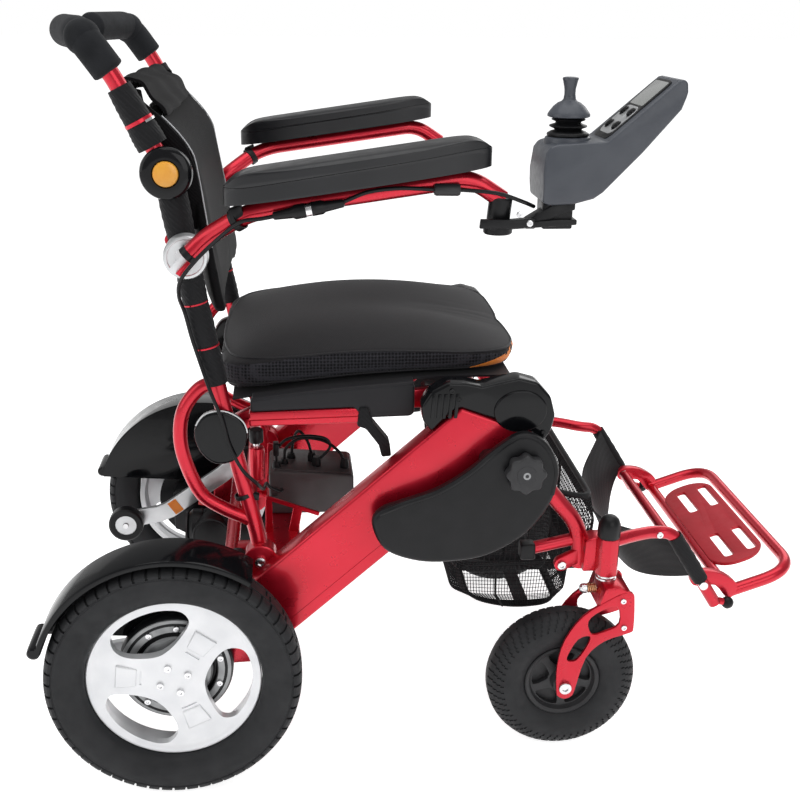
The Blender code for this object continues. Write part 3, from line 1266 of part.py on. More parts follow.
def build_cable():
    """The lead from the drive control to the box under the seat, along the arm and the right upright."""
    y = -ARM_TUBE_OUTER_Y
    out = 0.0145
    points = [
        (0.4300, y + 0.004, 0.7385), (0.4120, y - 0.020, 0.7480), (0.3850, y - out - 0.006, 0.7570),
        (0.3500, y - out + 0.002, 0.7600), (0.3150, y - out + 0.002, 0.7530),
        (0.2750, y - out + 0.002, 0.7430),
        (0.2250, y - out + 0.002, 0.7330), (0.1700, y - out + 0.002, 0.7300),
        (0.1300, y - out + 0.002, 0.7330),
        (0.1000, y - 0.0150, 0.7270), (0.0700, -0.2740, 0.7000), (0.0460, -0.2680, 0.6760),
        (0.0300, -0.2600, 0.6540),
        (0.0260, -0.2450, 0.6320), (0.0300, -0.2240, 0.6060), (0.0360, -0.2195, 0.5750),
        (0.0440, -0.2195, 0.5450),
        (0.0560, -0.2310, 0.5100), (0.0680, -0.2310, 0.4750), (0.0760, -0.2310, 0.4400),
        (0.0900, -0.2290, 0.4080),
        (0.1060, -0.2180, 0.3850), (0.1120, -0.1950, 0.3680), (0.1140, -0.1600, 0.3520),
        (0.1160, -0.1100, 0.3380),
        (0.1200, -0.0820, 0.3200), (0.1320, -0.0640, 0.3060), (0.1360, -0.0465, 0.3000),
    ]
    curve = bpy.data.curves.new("control_cable", "CURVE")
    curve.dimensions = "3D"
    curve.bevel_depth = CABLE_RADIUS
    curve.bevel_resolution = 2
    curve.use_fill_caps = True
    path = smooth_path(points, 2)
    spline = curve.splines.new("POLY")
    spline.points.add(len(path) - 1)
    for point, place in zip(spline.points, path):
        point.co = (*place, 1.0)
    cable = bpy.data.objects.new("control_cable", curve)
    bpy.context.scene.collection.objects.link(cable)
    paint(cable, BLACK_MATT)


def main():
    clear_scene()
    for side, s in SIDES.items():
        build_rear_wheel(side, s)
        build_beam(side, s)
        build_hinge_cover(side, s)
        build_guard(side, s)
        build_fender(side, s)
        build_motor(side, s)
        build_antitip_wheel(side, s)
        build_caster(side, s)
        build_handle(side, s)
        build_armrest(side, s)
    build_rear_cross()
    build_control_box()
    build_front_frame()
    build_footrest()
    build_calf_strap()
    build_bag()
    build_seat()
    build_back()
    build_control()
    build_cable()

    chair = bpy.data.objects.new("chair", None)
    bpy.context.scene.collection.objects.link(chair)
    chair.location = (-MIDDLE_X, 0, 0)
    for item in bpy.context.scene.collection.objects:
        if item is not chair:
            item.parent = chair


main()
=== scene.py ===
# %% [markdown]
# A folding power wheelchair, dressed over its measured frame. The frame comes in first and is never
# moved. Outlines and profiles inside mm() are in millimetres, as on a drawing, and every other
# length is in metres. Along the chair, x is measured from the rear axle, because
# that is how a frame builder marks up such a chair, and z is measured from the floor.

# %% Load the frame
import math
import bpy
from mathutils import Matrix, Vector


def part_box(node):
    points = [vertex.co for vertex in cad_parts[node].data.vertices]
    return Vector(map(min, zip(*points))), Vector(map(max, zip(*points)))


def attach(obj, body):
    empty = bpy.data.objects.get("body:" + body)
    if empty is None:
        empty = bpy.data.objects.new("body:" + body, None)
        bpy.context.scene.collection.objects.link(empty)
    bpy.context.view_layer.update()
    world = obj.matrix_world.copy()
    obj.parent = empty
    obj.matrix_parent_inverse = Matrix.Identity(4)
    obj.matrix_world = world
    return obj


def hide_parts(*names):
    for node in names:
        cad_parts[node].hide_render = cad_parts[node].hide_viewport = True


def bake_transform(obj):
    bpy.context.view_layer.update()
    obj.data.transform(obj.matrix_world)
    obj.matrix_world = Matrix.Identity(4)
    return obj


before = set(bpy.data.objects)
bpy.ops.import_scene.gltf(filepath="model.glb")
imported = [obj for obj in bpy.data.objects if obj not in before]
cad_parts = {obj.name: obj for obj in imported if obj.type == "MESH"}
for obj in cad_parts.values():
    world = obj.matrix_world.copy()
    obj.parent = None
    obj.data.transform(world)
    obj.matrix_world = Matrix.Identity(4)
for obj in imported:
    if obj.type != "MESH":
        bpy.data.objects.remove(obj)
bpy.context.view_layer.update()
axle_low, axle_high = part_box("rear_rim_right")
AXLE_X = (axle_low[0] + axle_high[0]) / 2
SIDES = {"right": -1, "left": 1}

# %% [markdown]
# Three kinds of blank cover most of the chair. Pressed and moulded plates start as a disc whose rim
# is pulled out to the part's outline and then extruded. Turned parts start as a ring of points set
# on the part's profile and are spun. Bent tubes are a round section swept along their bend line.

# %% Helpers for selecting and editing
def deselect():
    bpy.ops.object.select_all(action="DESELECT")


def only(obj):
    """Selects one object alone and makes it active."""
    deselect()
    obj.select_set(True)
    bpy.context.view_layer.objects.active = obj


def edit(obj):
    only(obj)
    bpy.ops.object.mode_set(mode="EDIT")
    bpy.ops.mesh.select_all(action="SELECT")


def leave_edit():
    bpy.ops.object.mode_set(mode="OBJECT")


def turn_outwards(obj):
    """Points every face of a piece outwards and leaves edit mode."""
    bpy.ops.mesh.select_all(action="SELECT")
    bpy.ops.mesh.normals_make_consistent(inside=False)
    leave_edit()
    return obj


def at(x, y, z):
    """A place on the chair, with x counted from the rear axle."""
    return Vector((x + AXLE_X, y, z))


def mm(*points):
    """Points that are written in millimetres, as on a drawing."""
    return [tuple(round(value / 1000, 7) for value in point) for point in points]


def on_circle(centre, radius, degrees):
    """The (x, z) point of a circle at an angle."""
    a = math.radians(degrees)
    return (centre[0] + radius * math.cos(a), centre[1] + radius * math.sin(a))


def apply_modifiers(obj):
    only(obj)
    for modifier in list(obj.modifiers):
        bpy.ops.object.modifier_apply(modifier=modifier.name)
    return obj


print("selection helpers ready")

# %% Helpers for blanks
def loop_of(corners, fill="NOTHING"):
    """A circle primitive whose points are moved to the given places."""
    deselect()
    bpy.ops.mesh.primitive_circle_add(vertices=len(corners), radius=0.05, fill_type=fill)
    obj = bpy.context.active_object
    for vertex, place in zip(obj.data.vertices, corners):
        vertex.co = place
    edit(obj)
    return obj


def pressed(corners, push):
    """A disc primitive pulled out to its corners and extruded along the push."""
    obj = loop_of(corners, "NGON")
    bpy.ops.mesh.extrude_region_move(TRANSFORM_OT_translate={"value": push})
    return turn_outwards(obj)


def plate(outline, y0, y1, bevel=0.0, segments=2, angle=40):
    """A plate with a side-view outline of (x, z) points, from y0 to y1."""
    obj = pressed([at(x, y0, z) for x, z in outline], (0, y1 - y0, 0))
    if bevel:
        soften(obj, bevel, segments, angle)
    return obj


def soften(obj, width, segments=2, angle=40):
    """Rounds every edge that turns by more than the angle."""
    mod = obj.modifiers.new("Rounding", "BEVEL")
    mod.width = width
    mod.segments = segments
    mod.limit_method = "ANGLE"
    mod.angle_limit = math.radians(angle)
    mod.harden_normals = False
    return apply_modifiers(obj)


def turned(profile, centre, axis=(0, 1, 0), steps=48):
    """A ring of points set on a (radius, height) profile and spun a full turn round the axis."""
    axis = Vector(axis).normalized()
    start = Vector((0, 0, -1)) if abs(axis.z) < 0.9 else Vector((1, 0, 0))
    start = (start - axis * start.dot(axis)).normalized()
    centre = Vector(centre)
    obj = loop_of([centre + start * radius + axis * height for radius, height in profile])
    bpy.ops.mesh.spin(steps=steps, angle=math.tau, center=centre, axis=axis)
    bpy.ops.mesh.select_all(action="SELECT")
    bpy.ops.mesh.remove_doubles(threshold=1e-6)
    bpy.ops.mesh.delete_loose(use_verts=True, use_edges=True, use_faces=False)
    return turn_outwards(obj)


def turned_out(profile, place, s, steps=48):
    """A turned part that faces out of the chair on side s, at an (x, z) place."""
    return turned(profile, at(place[0], 0, place[1]), (0, s, 0), steps)


def turned_up(profile, x, y, steps=48):
    """A turned part on an upright axis."""
    return turned(profile, at(x, y, 0), (0, 0, 1), steps)


def bent(points, bend, steps=6):
    """Straight runs between the points, with each corner rounded off as a tube bender does."""
    points = [Vector(p) for p in points]
    out = [points[0]]
    for before, corner, after in zip(points, points[1:], points[2:]):
        back = before - corner
        on = after - corner
        reach = min(bend, back.length * 0.48, on.length * 0.48)
        start = corner + back.normalized() * reach
        end = corner + on.normalized() * reach
        for k in range(steps + 1):
            t = k / steps
            out.append(start * (1 - t) ** 2 + corner * 2 * t * (1 - t) + end * t * t)
    out.append(points[-1])
    return out


def smooth_span(a, b, c, d, steps):
    """Points of a smooth curve from b towards c, led by its neighbours a and d."""
    return [0.5 * (2 * b + (c - a) * t + (2 * a - 5 * b + 4 * c - d) * t * t
        + (3 * b - a - 3 * c + d) * t ** 3) for t in (k / steps for k in range(steps))]


def flowing(points, steps=6):
    """A smooth line through the points, as a soft lead takes."""
    points = [Vector(p) for p in points]
    ends = [points[0] * 2 - points[1]] + points + [points[-1] * 2 - points[-2]]
    out = []
    for k in range(len(points) - 1):
        out += smooth_span(*ends[k:k + 4], steps)
    return out + points[-1:]


def ring_outline(points, steps=4):
    """The same smooth line closed on itself, for moulded outlines in the side view."""
    count = len(points)
    out = []
    for k in range(count):
        a, b, c, d = (Vector(points[(k + j) % count]) for j in (-1, 0, 1, 2))
        out += [tuple(p) for p in smooth_span(a, b, c, d, steps)]
    return out


def swept(points, radius, resolution=6):
    """A round section swept along chair points, made a mesh."""
    curve = bpy.data.curves.new("sweep", "CURVE")
    curve.dimensions = "3D"
    curve.bevel_depth = radius
    curve.bevel_resolution = resolution
    curve.use_fill_caps = True
    spline = curve.splines.new("POLY")
    spline.points.add(len(points) - 1)
    for point, place in zip(spline.points, points):
        point.co = (*at(*place), 1.0)
    obj = bpy.data.objects.new("sweep", curve)
    bpy.context.scene.collection.objects.link(obj)
    only(obj)
    bpy.ops.object.convert(target="MESH")
    return bpy.context.active_object


def cross_bar(x, z, half, radius, resolution):
    """A straight round bar across the chair."""
    return swept([(x, -half, z), (x, half, z)], radius, resolution)


def thicken(obj, thickness, offset=0):
    """Gives cloth or sheet metal its thickness."""
    solid = obj.modifiers.new("Cloth", "SOLIDIFY")
    solid.thickness = thickness
    solid.offset = offset
    return apply_modifiers(obj)


def refine(obj):
    """Subdivides a soft piece once, so that its curves are smooth."""
    finer = obj.modifiers.new("Finer", "SUBSURF")
    finer.levels = 1
    finer.render_levels = 1
    return apply_modifiers(obj)


def grid_of(columns, rows, size=2.0):
    """A flat grid primitive, to be laid out as cloth."""
    deselect()
    bpy.ops.mesh.primitive_grid_add(x_subdivisions=columns, y_subdivisions=rows, size=size)
    return bpy.context.active_object


print("blank helpers ready")

# %% Helpers for joining and handing over
def carve(obj, *cutters, operation="DIFFERENCE"):
    """Cuts the shapes out of a piece, or welds them on, and puts them away."""
    for cutter in cutters:
        mod = obj.modifiers.new("Carve", "BOOLEAN")
        mod.operation = operation
        mod.object = cutter
        mod.solver = "EXACT"
        apply_modifiers(obj)
        bpy.data.objects.remove(cutter, do_unlink=True)
    return obj


def joined(pieces):
    """Several shapes of one finish kept as one piece."""
    deselect()
    for piece in pieces:
        piece.select_set(True)
    bpy.context.view_layer.objects.active = pieces[0]
    bpy.ops.object.join()
    return bpy.context.active_object


def hand_over(obj, name, body, slot, finish, replaces=(), smooth=32):
    """Names a piece, puts its place into its mesh, gives it its finish and ties it to its body."""
    only(obj)
    bpy.ops.object.transform_apply(location=True, rotation=True, scale=True)
    if smooth:
        bpy.ops.object.shade_smooth_by_angle(angle=math.radians(smooth))
    obj.name = name
    obj.data.name = name
    if finish is not None:
        obj.data.materials.clear()
        obj.data.materials.append(finish)
    if body is not None:
        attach(obj, body)
    if replaces:
        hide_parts(*replaces)
    return obj


def bolt_head(place, axis, radius, height):
    """A socket screw's head: a short drum with a rounded rim and a sunk six-sided socket."""
    axis = Vector(axis).normalized()
    deselect()
    bpy.ops.mesh.primitive_cylinder_add(vertices=24, radius=radius, depth=height)
    obj = bpy.context.active_object
    soften(obj, radius * 0.18, 2, 50)
    bpy.ops.mesh.primitive_cylinder_add(vertices=6, radius=radius * 0.52, depth=height)
    socket = bpy.context.active_object
    socket.location.z = height * 0.62
    bpy.context.view_layer.update()
    carve(obj, socket)
    obj.rotation_euler = Vector((0, 0, 1)).rotation_difference(axis).to_euler()
    obj.location = at(*place) + axis * height / 2
    only(obj)
    bpy.ops.object.transform_apply(location=True, rotation=True, scale=True)
    return obj


def side_bolt(x, y, z, s, radius, height):
    """A screw that faces out of the chair on side s, or inwards for -s."""
    return bolt_head((x, y, z), (0, s, 0), radius, height)


print("hand-over helpers ready")

# %% [markdown]
# Every finish is built from the same few nodes: a noise that shifts the colour a little, a noise
# that shifts the roughness, and a bump for the grain. Patterns are read in Object coordinates, which
# are the chair's own metres, so a grain of 2 mm is 2 mm on every piece.

# %% Finish helpers
def finish(name, colour, roughness, metallic=0.0, coat=0.0, coat_roughness=0.08, sheen=0.0, level=0.5):
    material = bpy.data.materials.new(name)
    material.use_nodes = True
    shader = material.node_tree.nodes["Principled BSDF"]
    shader.inputs["Base Color"].default_value = (*colour, 1.0)
    shader.inputs["Roughness"].default_value = roughness
    shader.inputs["Metallic"].default_value = metallic
    shader.inputs["Coat Weight"].default_value = coat
    shader.inputs["Coat Roughness"].default_value = coat_roughness
    shader.inputs["Sheen Weight"].default_value = sheen
    shader.inputs["Sheen Roughness"].default_value = 0.5
    shader.inputs["Specular IOR Level"].default_value = level
    return material


def new_node(material, kind, **inputs):
    node = material.node_tree.nodes.new(kind)
    for key, value in inputs.items():
        node.inputs[key.replace("_", " ")].default_value = value
    return node


def wire(material, source, target):
    material.node_tree.links.new(source, target)


def places(material, turn=(0, 0, 0)):
    """Object coordinates, turned for a pattern."""
    coords = new_node(material, "ShaderNodeTexCoord")
    mapping = new_node(material, "ShaderNodeMapping", Rotation=turn)
    wire(material, coords.outputs["Object"], mapping.inputs["Vector"])
    return mapping.outputs["Vector"]


def cloudy(material, scale, detail=3.0):
    """A soft noise pattern."""
    noise = new_node(material, "ShaderNodeTexNoise", Scale=scale, Detail=detail)
    wire(material, places(material), noise.inputs["Vector"])
    return noise.outputs["Fac"]


def remap(material, value, low, high, start=0.3, end=0.7):
    node = new_node(material, "ShaderNodeMapRange", From_Min=start, From_Max=end, To_Min=low, To_Max=high)
    wire(material, value, node.inputs["Value"])
    return node.outputs["Result"]


def tint(material, value, dark, light):
    """Colour that drifts between two shades with a pattern."""
    mix = material.node_tree.nodes.new("ShaderNodeMix")
    mix.data_type = "RGBA"
    mix.inputs[6].default_value = (*dark, 1.0)
    mix.inputs[7].default_value = (*light, 1.0)
    wire(material, value, mix.inputs[0])
    shader = material.node_tree.nodes["Principled BSDF"]
    wire(material, mix.outputs[2], shader.inputs["Base Color"])


def worn(material, value, low, high):
    shader = material.node_tree.nodes["Principled BSDF"]
    wire(material, remap(material, value, low, high), shader.inputs["Roughness"])


def relief(material, value, distance, strength=1.0):
    """Adds a bump under whatever bump the finish already has."""
    shader = material.node_tree.nodes["Principled BSDF"]
    bump = new_node(material, "ShaderNodeBump", Strength=strength, Distance=distance)
    wire(material, value, bump.inputs["Height"])
    before = shader.inputs["Normal"].links
    if before:
        wire(material, before[0].from_socket, bump.inputs["Normal"])
    wire(material, bump.outputs["Normal"], shader.inputs["Normal"])


def worked(material, operation, first, second):
    node = material.node_tree.nodes.new("ShaderNodeMath")
    node.operation = operation
    for socket, value in zip(node.inputs, (first, second)):
        if isinstance(value, (int, float)):
            socket.default_value = value
        else:
            wire(material, value, socket)
    return node.outputs[0]


print("finish helpers ready")

# %% [markdown]
# The frame is bright red anodised metal: a metallic base under a thin clear coat. The casting of the
# wheels is paler and rougher, and the small steel parts are plated. Black on black is told apart by
# its gloss. The mudguards and hinge covers are polished mouldings, the side guards and the control
# are satin with a spark-eroded grain, and the foam and the tyres scatter what light they return.

# %% Metal, plastic and rubber finishes
def mottled(name, dark, light, smooth, rough, scale=40.0, grain=0.0, grain_scale=1400.0, **look):
    """A finish that drifts between two shades and two roughnesses, with a fine grain."""
    middle = tuple((a + b) / 2 for a, b in zip(dark, light))
    material = finish(name, middle, (smooth + rough) / 2, **look)
    tint(material, remap(material, cloudy(material, scale), 0.0, 1.0), dark, light)
    worn(material, cloudy(material, scale * 4.0), smooth, rough)
    if grain:
        relief(material, cloudy(material, grain_scale, 2.0), grain, 0.5)
    return material


red_paint = mottled("red_paint", (0.5, 0.005, 0.02), (0.64, 0.011, 0.034), 0.24, 0.36, 9.0, 0.00006,
    900.0, metallic=0.68, coat=0.35, coat_roughness=0.09)
cast_alloy = mottled("cast_alloy", (0.76, 0.77, 0.79), (0.87, 0.875, 0.89), 0.34, 0.48, 30.0, 0.0001,
    500.0, metallic=0.45, coat=0.25, coat_roughness=0.2)
plated_steel = mottled("plated_steel", (0.6, 0.6, 0.61), (0.78, 0.78, 0.79), 0.16, 0.3, 120.0,
    metallic=1.0)
brushed_alloy = mottled("brushed_alloy", (0.55, 0.56, 0.57), (0.7, 0.71, 0.72), 0.3, 0.46, 25.0, 0.00008,
    300.0, metallic=0.85)
dull_alloy = mottled("dull_alloy", (0.26, 0.265, 0.27), (0.4, 0.405, 0.41), 0.36, 0.52, 60.0, 0.0002,
    600.0, metallic=0.6)
copper_wire = mottled("copper_wire", (0.62, 0.33, 0.16), (0.8, 0.47, 0.26), 0.22, 0.4, 150.0,
    metallic=1.0)
gloss_black = mottled("gloss_black", (0.003, 0.0032, 0.004), (0.0055, 0.0058, 0.007), 0.1, 0.2, 18.0,
    coat=0.12, coat_roughness=0.03, level=0.18)
satin_black = mottled("satin_black", (0.0055, 0.0055, 0.0064), (0.0095, 0.0095, 0.0106), 0.32, 0.44, 40.0,
    0.0001, level=0.24)
grey_plastic = mottled("grey_plastic", (0.024, 0.024, 0.026), (0.036, 0.036, 0.038), 0.4, 0.54, 50.0,
    0.0001, level=0.35)
case_grey = mottled("case_grey", (0.06, 0.054, 0.055), (0.082, 0.074, 0.076), 0.34, 0.46, 30.0, 0.0001,
    level=0.4)
handset_plastic = mottled("handset_plastic", (0.054, 0.06, 0.074), (0.07, 0.077, 0.092), 0.34, 0.46, 35.0,
    0.0001, level=0.45)
tyre_rubber = mottled("tyre_rubber", (0.0125, 0.013, 0.0145), (0.023, 0.0235, 0.0255), 0.5, 0.68, 28.0,
    0.0002, 700.0, level=0.3)
soft_pad = mottled("soft_pad", (0.007, 0.0074, 0.009), (0.0115, 0.012, 0.0142), 0.3, 0.42, 18.0, 0.0001,
    900.0, level=0.42)
foam_skin = mottled("foam_skin", (0.012, 0.013, 0.015), (0.021, 0.022, 0.025), 0.74, 0.9, 45.0, 0.0004,
    1100.0, sheen=0.06, level=0.15)
button_orange = mottled("button_orange", (0.9, 0.38, 0.035), (0.96, 0.47, 0.06), 0.28, 0.38, 80.0,
    coat=0.3)
signal_orange = mottled("signal_orange", (0.92, 0.24, 0.025), (0.97, 0.31, 0.045), 0.48, 0.62, 90.0,
    sheen=0.1)
lever_red = mottled("lever_red", (0.62, 0.022, 0.02), (0.74, 0.035, 0.03), 0.28, 0.42, 60.0, coat=0.3)
display_glass = mottled("display_glass", (0.27, 0.28, 0.27), (0.33, 0.34, 0.33), 0.1, 0.16, 30.0,
    coat=0.8, coat_roughness=0.03)
# A pale grey cord finish, used as a painted highlight on the backrest's dark side piping.
highlight_cord_white = mottled("highlight_cord_white", (0.48, 0.49, 0.51), (0.62, 0.63, 0.65), 0.44, 0.6, 120.0)
net_cord = mottled("net_cord", (0.008, 0.008, 0.0095), (0.014, 0.014, 0.016), 0.52, 0.7, 90.0, level=0.25)
print("finishes so far:", len(bpy.data.materials))

# %% [markdown]
# The cushion's top is a tight smooth knit and its border a spacer mesh of small round holes. The
# back and the sleeves are woven nylon. A weave is two sets of bands at right angles. On solid cloth
# they run along the three diagonals, so that they show on a face turned any way.

# %% Cloth finishes
def woven(name, colour, pitch, roughness=0.8, contrast=0.35, depth=0.0003, sheen=0.05, level=0.16):
    cloth = finish(name, colour, roughness, sheen=sheen, level=level)
    bands = []
    for turn in ((0, 0, 0), (0, 0, math.pi / 2)):
        wave = new_node(cloth, "ShaderNodeTexWave", Scale=1.0 / (pitch * 3.2), Distortion=0.4, Detail=1.0)
        wave.bands_direction = "DIAGONAL"
        wire(cloth, places(cloth, turn=turn), wave.inputs["Vector"])
        bands.append(wave.outputs["Fac"])
    over = worked(cloth, "MULTIPLY", bands[0], bands[1])
    drift = remap(cloth, cloudy(cloth, 12.0, 4.0), 0.0, 0.5)
    shade = worked(cloth, "ADD", worked(cloth, "MULTIPLY", over, contrast), drift)
    tint(cloth, shade, tuple(c * 0.75 for c in colour), tuple(c * 1.45 for c in colour))
    relief(cloth, over, depth, 0.6)
    return cloth


cushion_knit = woven("cushion_knit", (0.0108, 0.0098, 0.0114), 0.0018, 0.62, 0.35, 0.0002, level=0.22)
sling_nylon = woven("sling_nylon", (0.009, 0.0085, 0.011), 0.0012, 0.52, 0.2, 0.0001, level=0.3)
back_nylon = woven("back_nylon", (0.0046, 0.0044, 0.005), 0.0022, 0.68, 0.5, 0.0003, 0.02, 0.08)
webbing = woven("webbing", (0.0085, 0.0085, 0.0098), 0.0032, 0.62, 0.6, 0.0006, level=0.2)
strap_nylon = woven("strap_nylon", (0.008, 0.008, 0.0092), 0.002, 0.58, 0.4, 0.0003, level=0.2)

border_mesh = finish("border_mesh", (0.022, 0.022, 0.026), 0.8, sheen=0.05, level=0.16)
cells = new_node(border_mesh, "ShaderNodeTexVoronoi", Scale=235.0, Randomness=0.12)
wire(border_mesh, places(border_mesh), cells.inputs["Vector"])
holes = remap(border_mesh, cells.outputs["Distance"], 0.0, 1.0, 0.25, 0.55)
tint(border_mesh, holes, (0.005, 0.005, 0.0062), (0.038, 0.037, 0.044))
relief(border_mesh, holes, 0.0012, 0.8)

# Each look below pairs a slot name with one finish; hand_over puts only the finish on the piece.
STEEL = ("bright_disc", plated_steel)
RED = ("red_metal", red_paint)
RUBBER = ("soft_boot", satin_black)
SATIN = ("knob_plastic", satin_black)
ALLOY = ("bright_disc", brushed_alloy)
COATED = ("black_cloth", sling_nylon)
GLOSS = ("gloss_cover", gloss_black)
WEBBING = ("black_cloth", webbing)
BACKING = ("black_cloth", back_nylon)
STRAP = ("black_cloth", strap_nylon)
print("cloths:", cushion_knit.name, border_mesh.name, back_nylon.name, webbing.name, net_cord.name)

# %% [markdown]
# The camera stands in front of the right side, a little above the armrests, as the photographer
# stood. The lens is long enough to keep the near wheel from swelling.

# %% Camera
YAW, PITCH, ROLL = 0.098, -0.333, 0.01
forward = Vector((math.sin(YAW) * math.cos(PITCH), math.cos(YAW) * math.cos(PITCH), math.sin(PITCH)))
level_right = Vector((math.cos(YAW), -math.sin(YAW), 0))
level_up = level_right.cross(forward)
camera_right = level_right * math.cos(ROLL) + level_up * math.sin(ROLL)
camera_up = level_up * math.cos(ROLL) - level_right * math.sin(ROLL)
matrix = Matrix((camera_right, camera_up, -forward)).transposed().to_4x4()
matrix.translation = at(0.1536, -1.5642, 0.9584)
bpy.ops.object.camera_add()
camera = bpy.context.active_object
camera.name = "camera"
camera.matrix_world = matrix
camera.data.lens = 52.13
camera.data.sensor_width = 36.0
bpy.context.scene.camera = camera
print("camera at", [round(v, 3) for v in camera.location])

# %% [markdown]
# The studio is a pale floor under large soft lamps. Camera, gloss and glass see the floor and the
# world as white, while the light that falls on the chair comes from the lamps and a dimmer world.

# %% Studio
SEAT_MIDDLE = Vector((0, 0, 0.45))
for name, place, size, power in (("top_lamp", (0.1, -0.2, 2.6), (2.6, 2.2), 30.0),
        ("front_lamp", (0.9, -2.6, 1.5), (1.6, 1.8), 16.0), ("side_lamp", (-2.3, -0.9, 1.5), (1.4, 1.8),
        12.0), ("rim_lamp", (1.6, 2.0, 1.8), (1.8, 1.4), 14.0), ("back_lamp", (-1.3, 2.6, 0.9),
        (2.4, 1.2), 3.0)):
    bpy.ops.object.light_add(type="AREA", location=place)
    lamp = bpy.context.active_object
    lamp.name = name
    lamp.data.shape = "RECTANGLE"
    lamp.data.size = size[0]
    lamp.data.size_y = size[1]
    lamp.data.energy = power
    lamp.rotation_euler = (SEAT_MIDDLE - Vector(place)).to_track_quat("-Z", "Y").to_euler()

bpy.ops.mesh.primitive_plane_add(size=60.0, location=(0, 0, -0.0005))
floor = bpy.context.active_object
floor.name = "floor"
floor_white = finish("floor_white", (0.86, 0.86, 0.87), 0.9, level=0.0)
shader = floor_white.node_tree.nodes["Principled BSDF"]
speckle = cloudy(floor_white, 3.0)
tint(floor_white, speckle, (0.86, 0.86, 0.865), (0.88, 0.88, 0.885))
glow = new_node(floor_white, "ShaderNodeEmission", Strength=0.8)
rays = new_node(floor_white, "ShaderNodeLightPath")
seen = worked(floor_white, "MAXIMUM", rays.outputs["Is Camera Ray"], rays.outputs["Is Glossy Ray"])
strength = worked(floor_white, "MULTIPLY", seen, 0.8)
wire(floor_white, strength, glow.inputs["Strength"])
both = new_node(floor_white, "ShaderNodeAddShader")
wire(floor_white, shader.outputs[0], both.inputs[0])
wire(floor_white, glow.outputs[0], both.inputs[1])
out = floor_white.node_tree.nodes["Material Output"]
wire(floor_white, both.outputs[0], out.inputs["Surface"])
floor.data.materials.append(floor_white)

world = bpy.data.worlds.new("studio_air")
bpy.context.scene.world = world
world.use_nodes = True
air = world.node_tree.nodes["Background"]
path = world.node_tree.nodes.new("ShaderNodeLightPath")
plain = world.node_tree.nodes.new("ShaderNodeMath")
plain.operation = "MAXIMUM"
world.node_tree.links.new(path.outputs["Is Camera Ray"], plain.inputs[0])
world.node_tree.links.new(path.outputs["Is Transmission Ray"], plain.inputs[1])
amount = world.node_tree.nodes.new("ShaderNodeMapRange")
amount.inputs["To Min"].default_value = 0.4
amount.inputs["To Max"].default_value = 1.0
world.node_tree.links.new(plain.outputs[0], amount.inputs["Value"])
world.node_tree.links.new(amount.outputs["Result"], air.inputs["Strength"])
air.inputs["Color"].default_value = (1, 1, 1, 1)
bpy.context.scene.view_settings.view_transform = "Standard"

# %% [markdown]
# The drive wheels carry a pneumatic tyre on a cast wheel. A tyre is a body of revolution, so its
# section is spun. The tread blocks are then made the way a mould makes them, by pressing narrow
# slits into the shoulder at even steps, left and right out of step with each other.

# %% Helpers for picking faces
def pick(obj, wanted):
    """Goes into edit mode with only the wanted faces selected."""
    edit(obj)
    bpy.ops.mesh.select_mode(type="FACE")
    bpy.ops.mesh.select_all(action="DESELECT")
    leave_edit()
    chosen = 0
    for face in obj.data.polygons:
        face.select = bool(wanted(face))
        chosen += face.select
    bpy.ops.object.mode_set(mode="EDIT")
    return chosen


def on_tread(face, axle, edge, steps):
    """How far out towards an edge a face lies, its radius, and its step round the wheel."""
    x, y, z = face.center - axle
    turn = (math.atan2(z, x) / math.tau) % 1.0
    return y * edge, math.hypot(x, z), int(turn * steps)


def sink(depth):
    """Presses the selected faces in and leaves edit mode."""
    bpy.ops.mesh.extrude_region_shrink_fatten(TRANSFORM_OT_shrink_fatten={"value": -depth})
    leave_edit()


def both_halves(half):
    """A section of (radius, height) points with its mirror image."""
    return half + [(r, -h) for r, h in half[::-1]]


print("picking helpers ready")

# %% Drive tyres
TYRE_RADIUS = 0.1585
WHEEL_Y = 0.2885
BLOCKS = 60
TYRE_HALF = mm((158.5, 4), (158.4, 9), (155.8, 9.6), (155.8, 11), (158.2, 11.7), (157, 18.5),
    (154.8, 23.2), (151.2, 26.3), (148, 27), (147.2, 26.2), (146.2, 26.3), (145, 27.3), (138, 28.1),
    (128, 27.7), (119, 25.6), (113, 22.2), (109.8, 17.8), (108.6, 12))

for side, s in SIDES.items():
    axle = at(0, s * WHEEL_Y, TYRE_RADIUS)
    tyre = turned(both_halves(TYRE_HALF), axle, (0, 1, 0), BLOCKS * 5)
    for edge, step in ((1, 0), (-1, 2)):
        def slit(face, edge=edge, step=step):
            out, radius, turn = on_tread(face, axle, edge, BLOCKS * 5)
            return radius > 0.1476 and 0.0117 < out and turn % 5 == step
        count = pick(tyre, slit)
        sink(0.0026)
    for edge in (1, -1):
        def sipe(face, edge=edge):
            out, radius, turn = on_tread(face, axle, edge, BLOCKS * 5)
            return radius > 0.157 and -0.0041 < out < 0.0091 and turn % 10 == 4 + edge
        pick(tyre, sipe)
        sink(0.0022)
    hand_over(tyre, f"drive_tyre_{side}", f"rear_wheel_{side}", "tyre", tyre_rubber,
        [f"rear_tyre_{side}"], 28)
    print(tyre.name, "slits per side", count, "faces", len(tyre.data.polygons))

# %% [markdown]
# The wheel itself is a casting: a rim, a dished web with three kidney windows, three flat pads on
# the spokes and a plain hub held by four socket screws. The dish is spun, the windows are cut
# through, and one bevel over the lot gives the soft edges that a casting has.

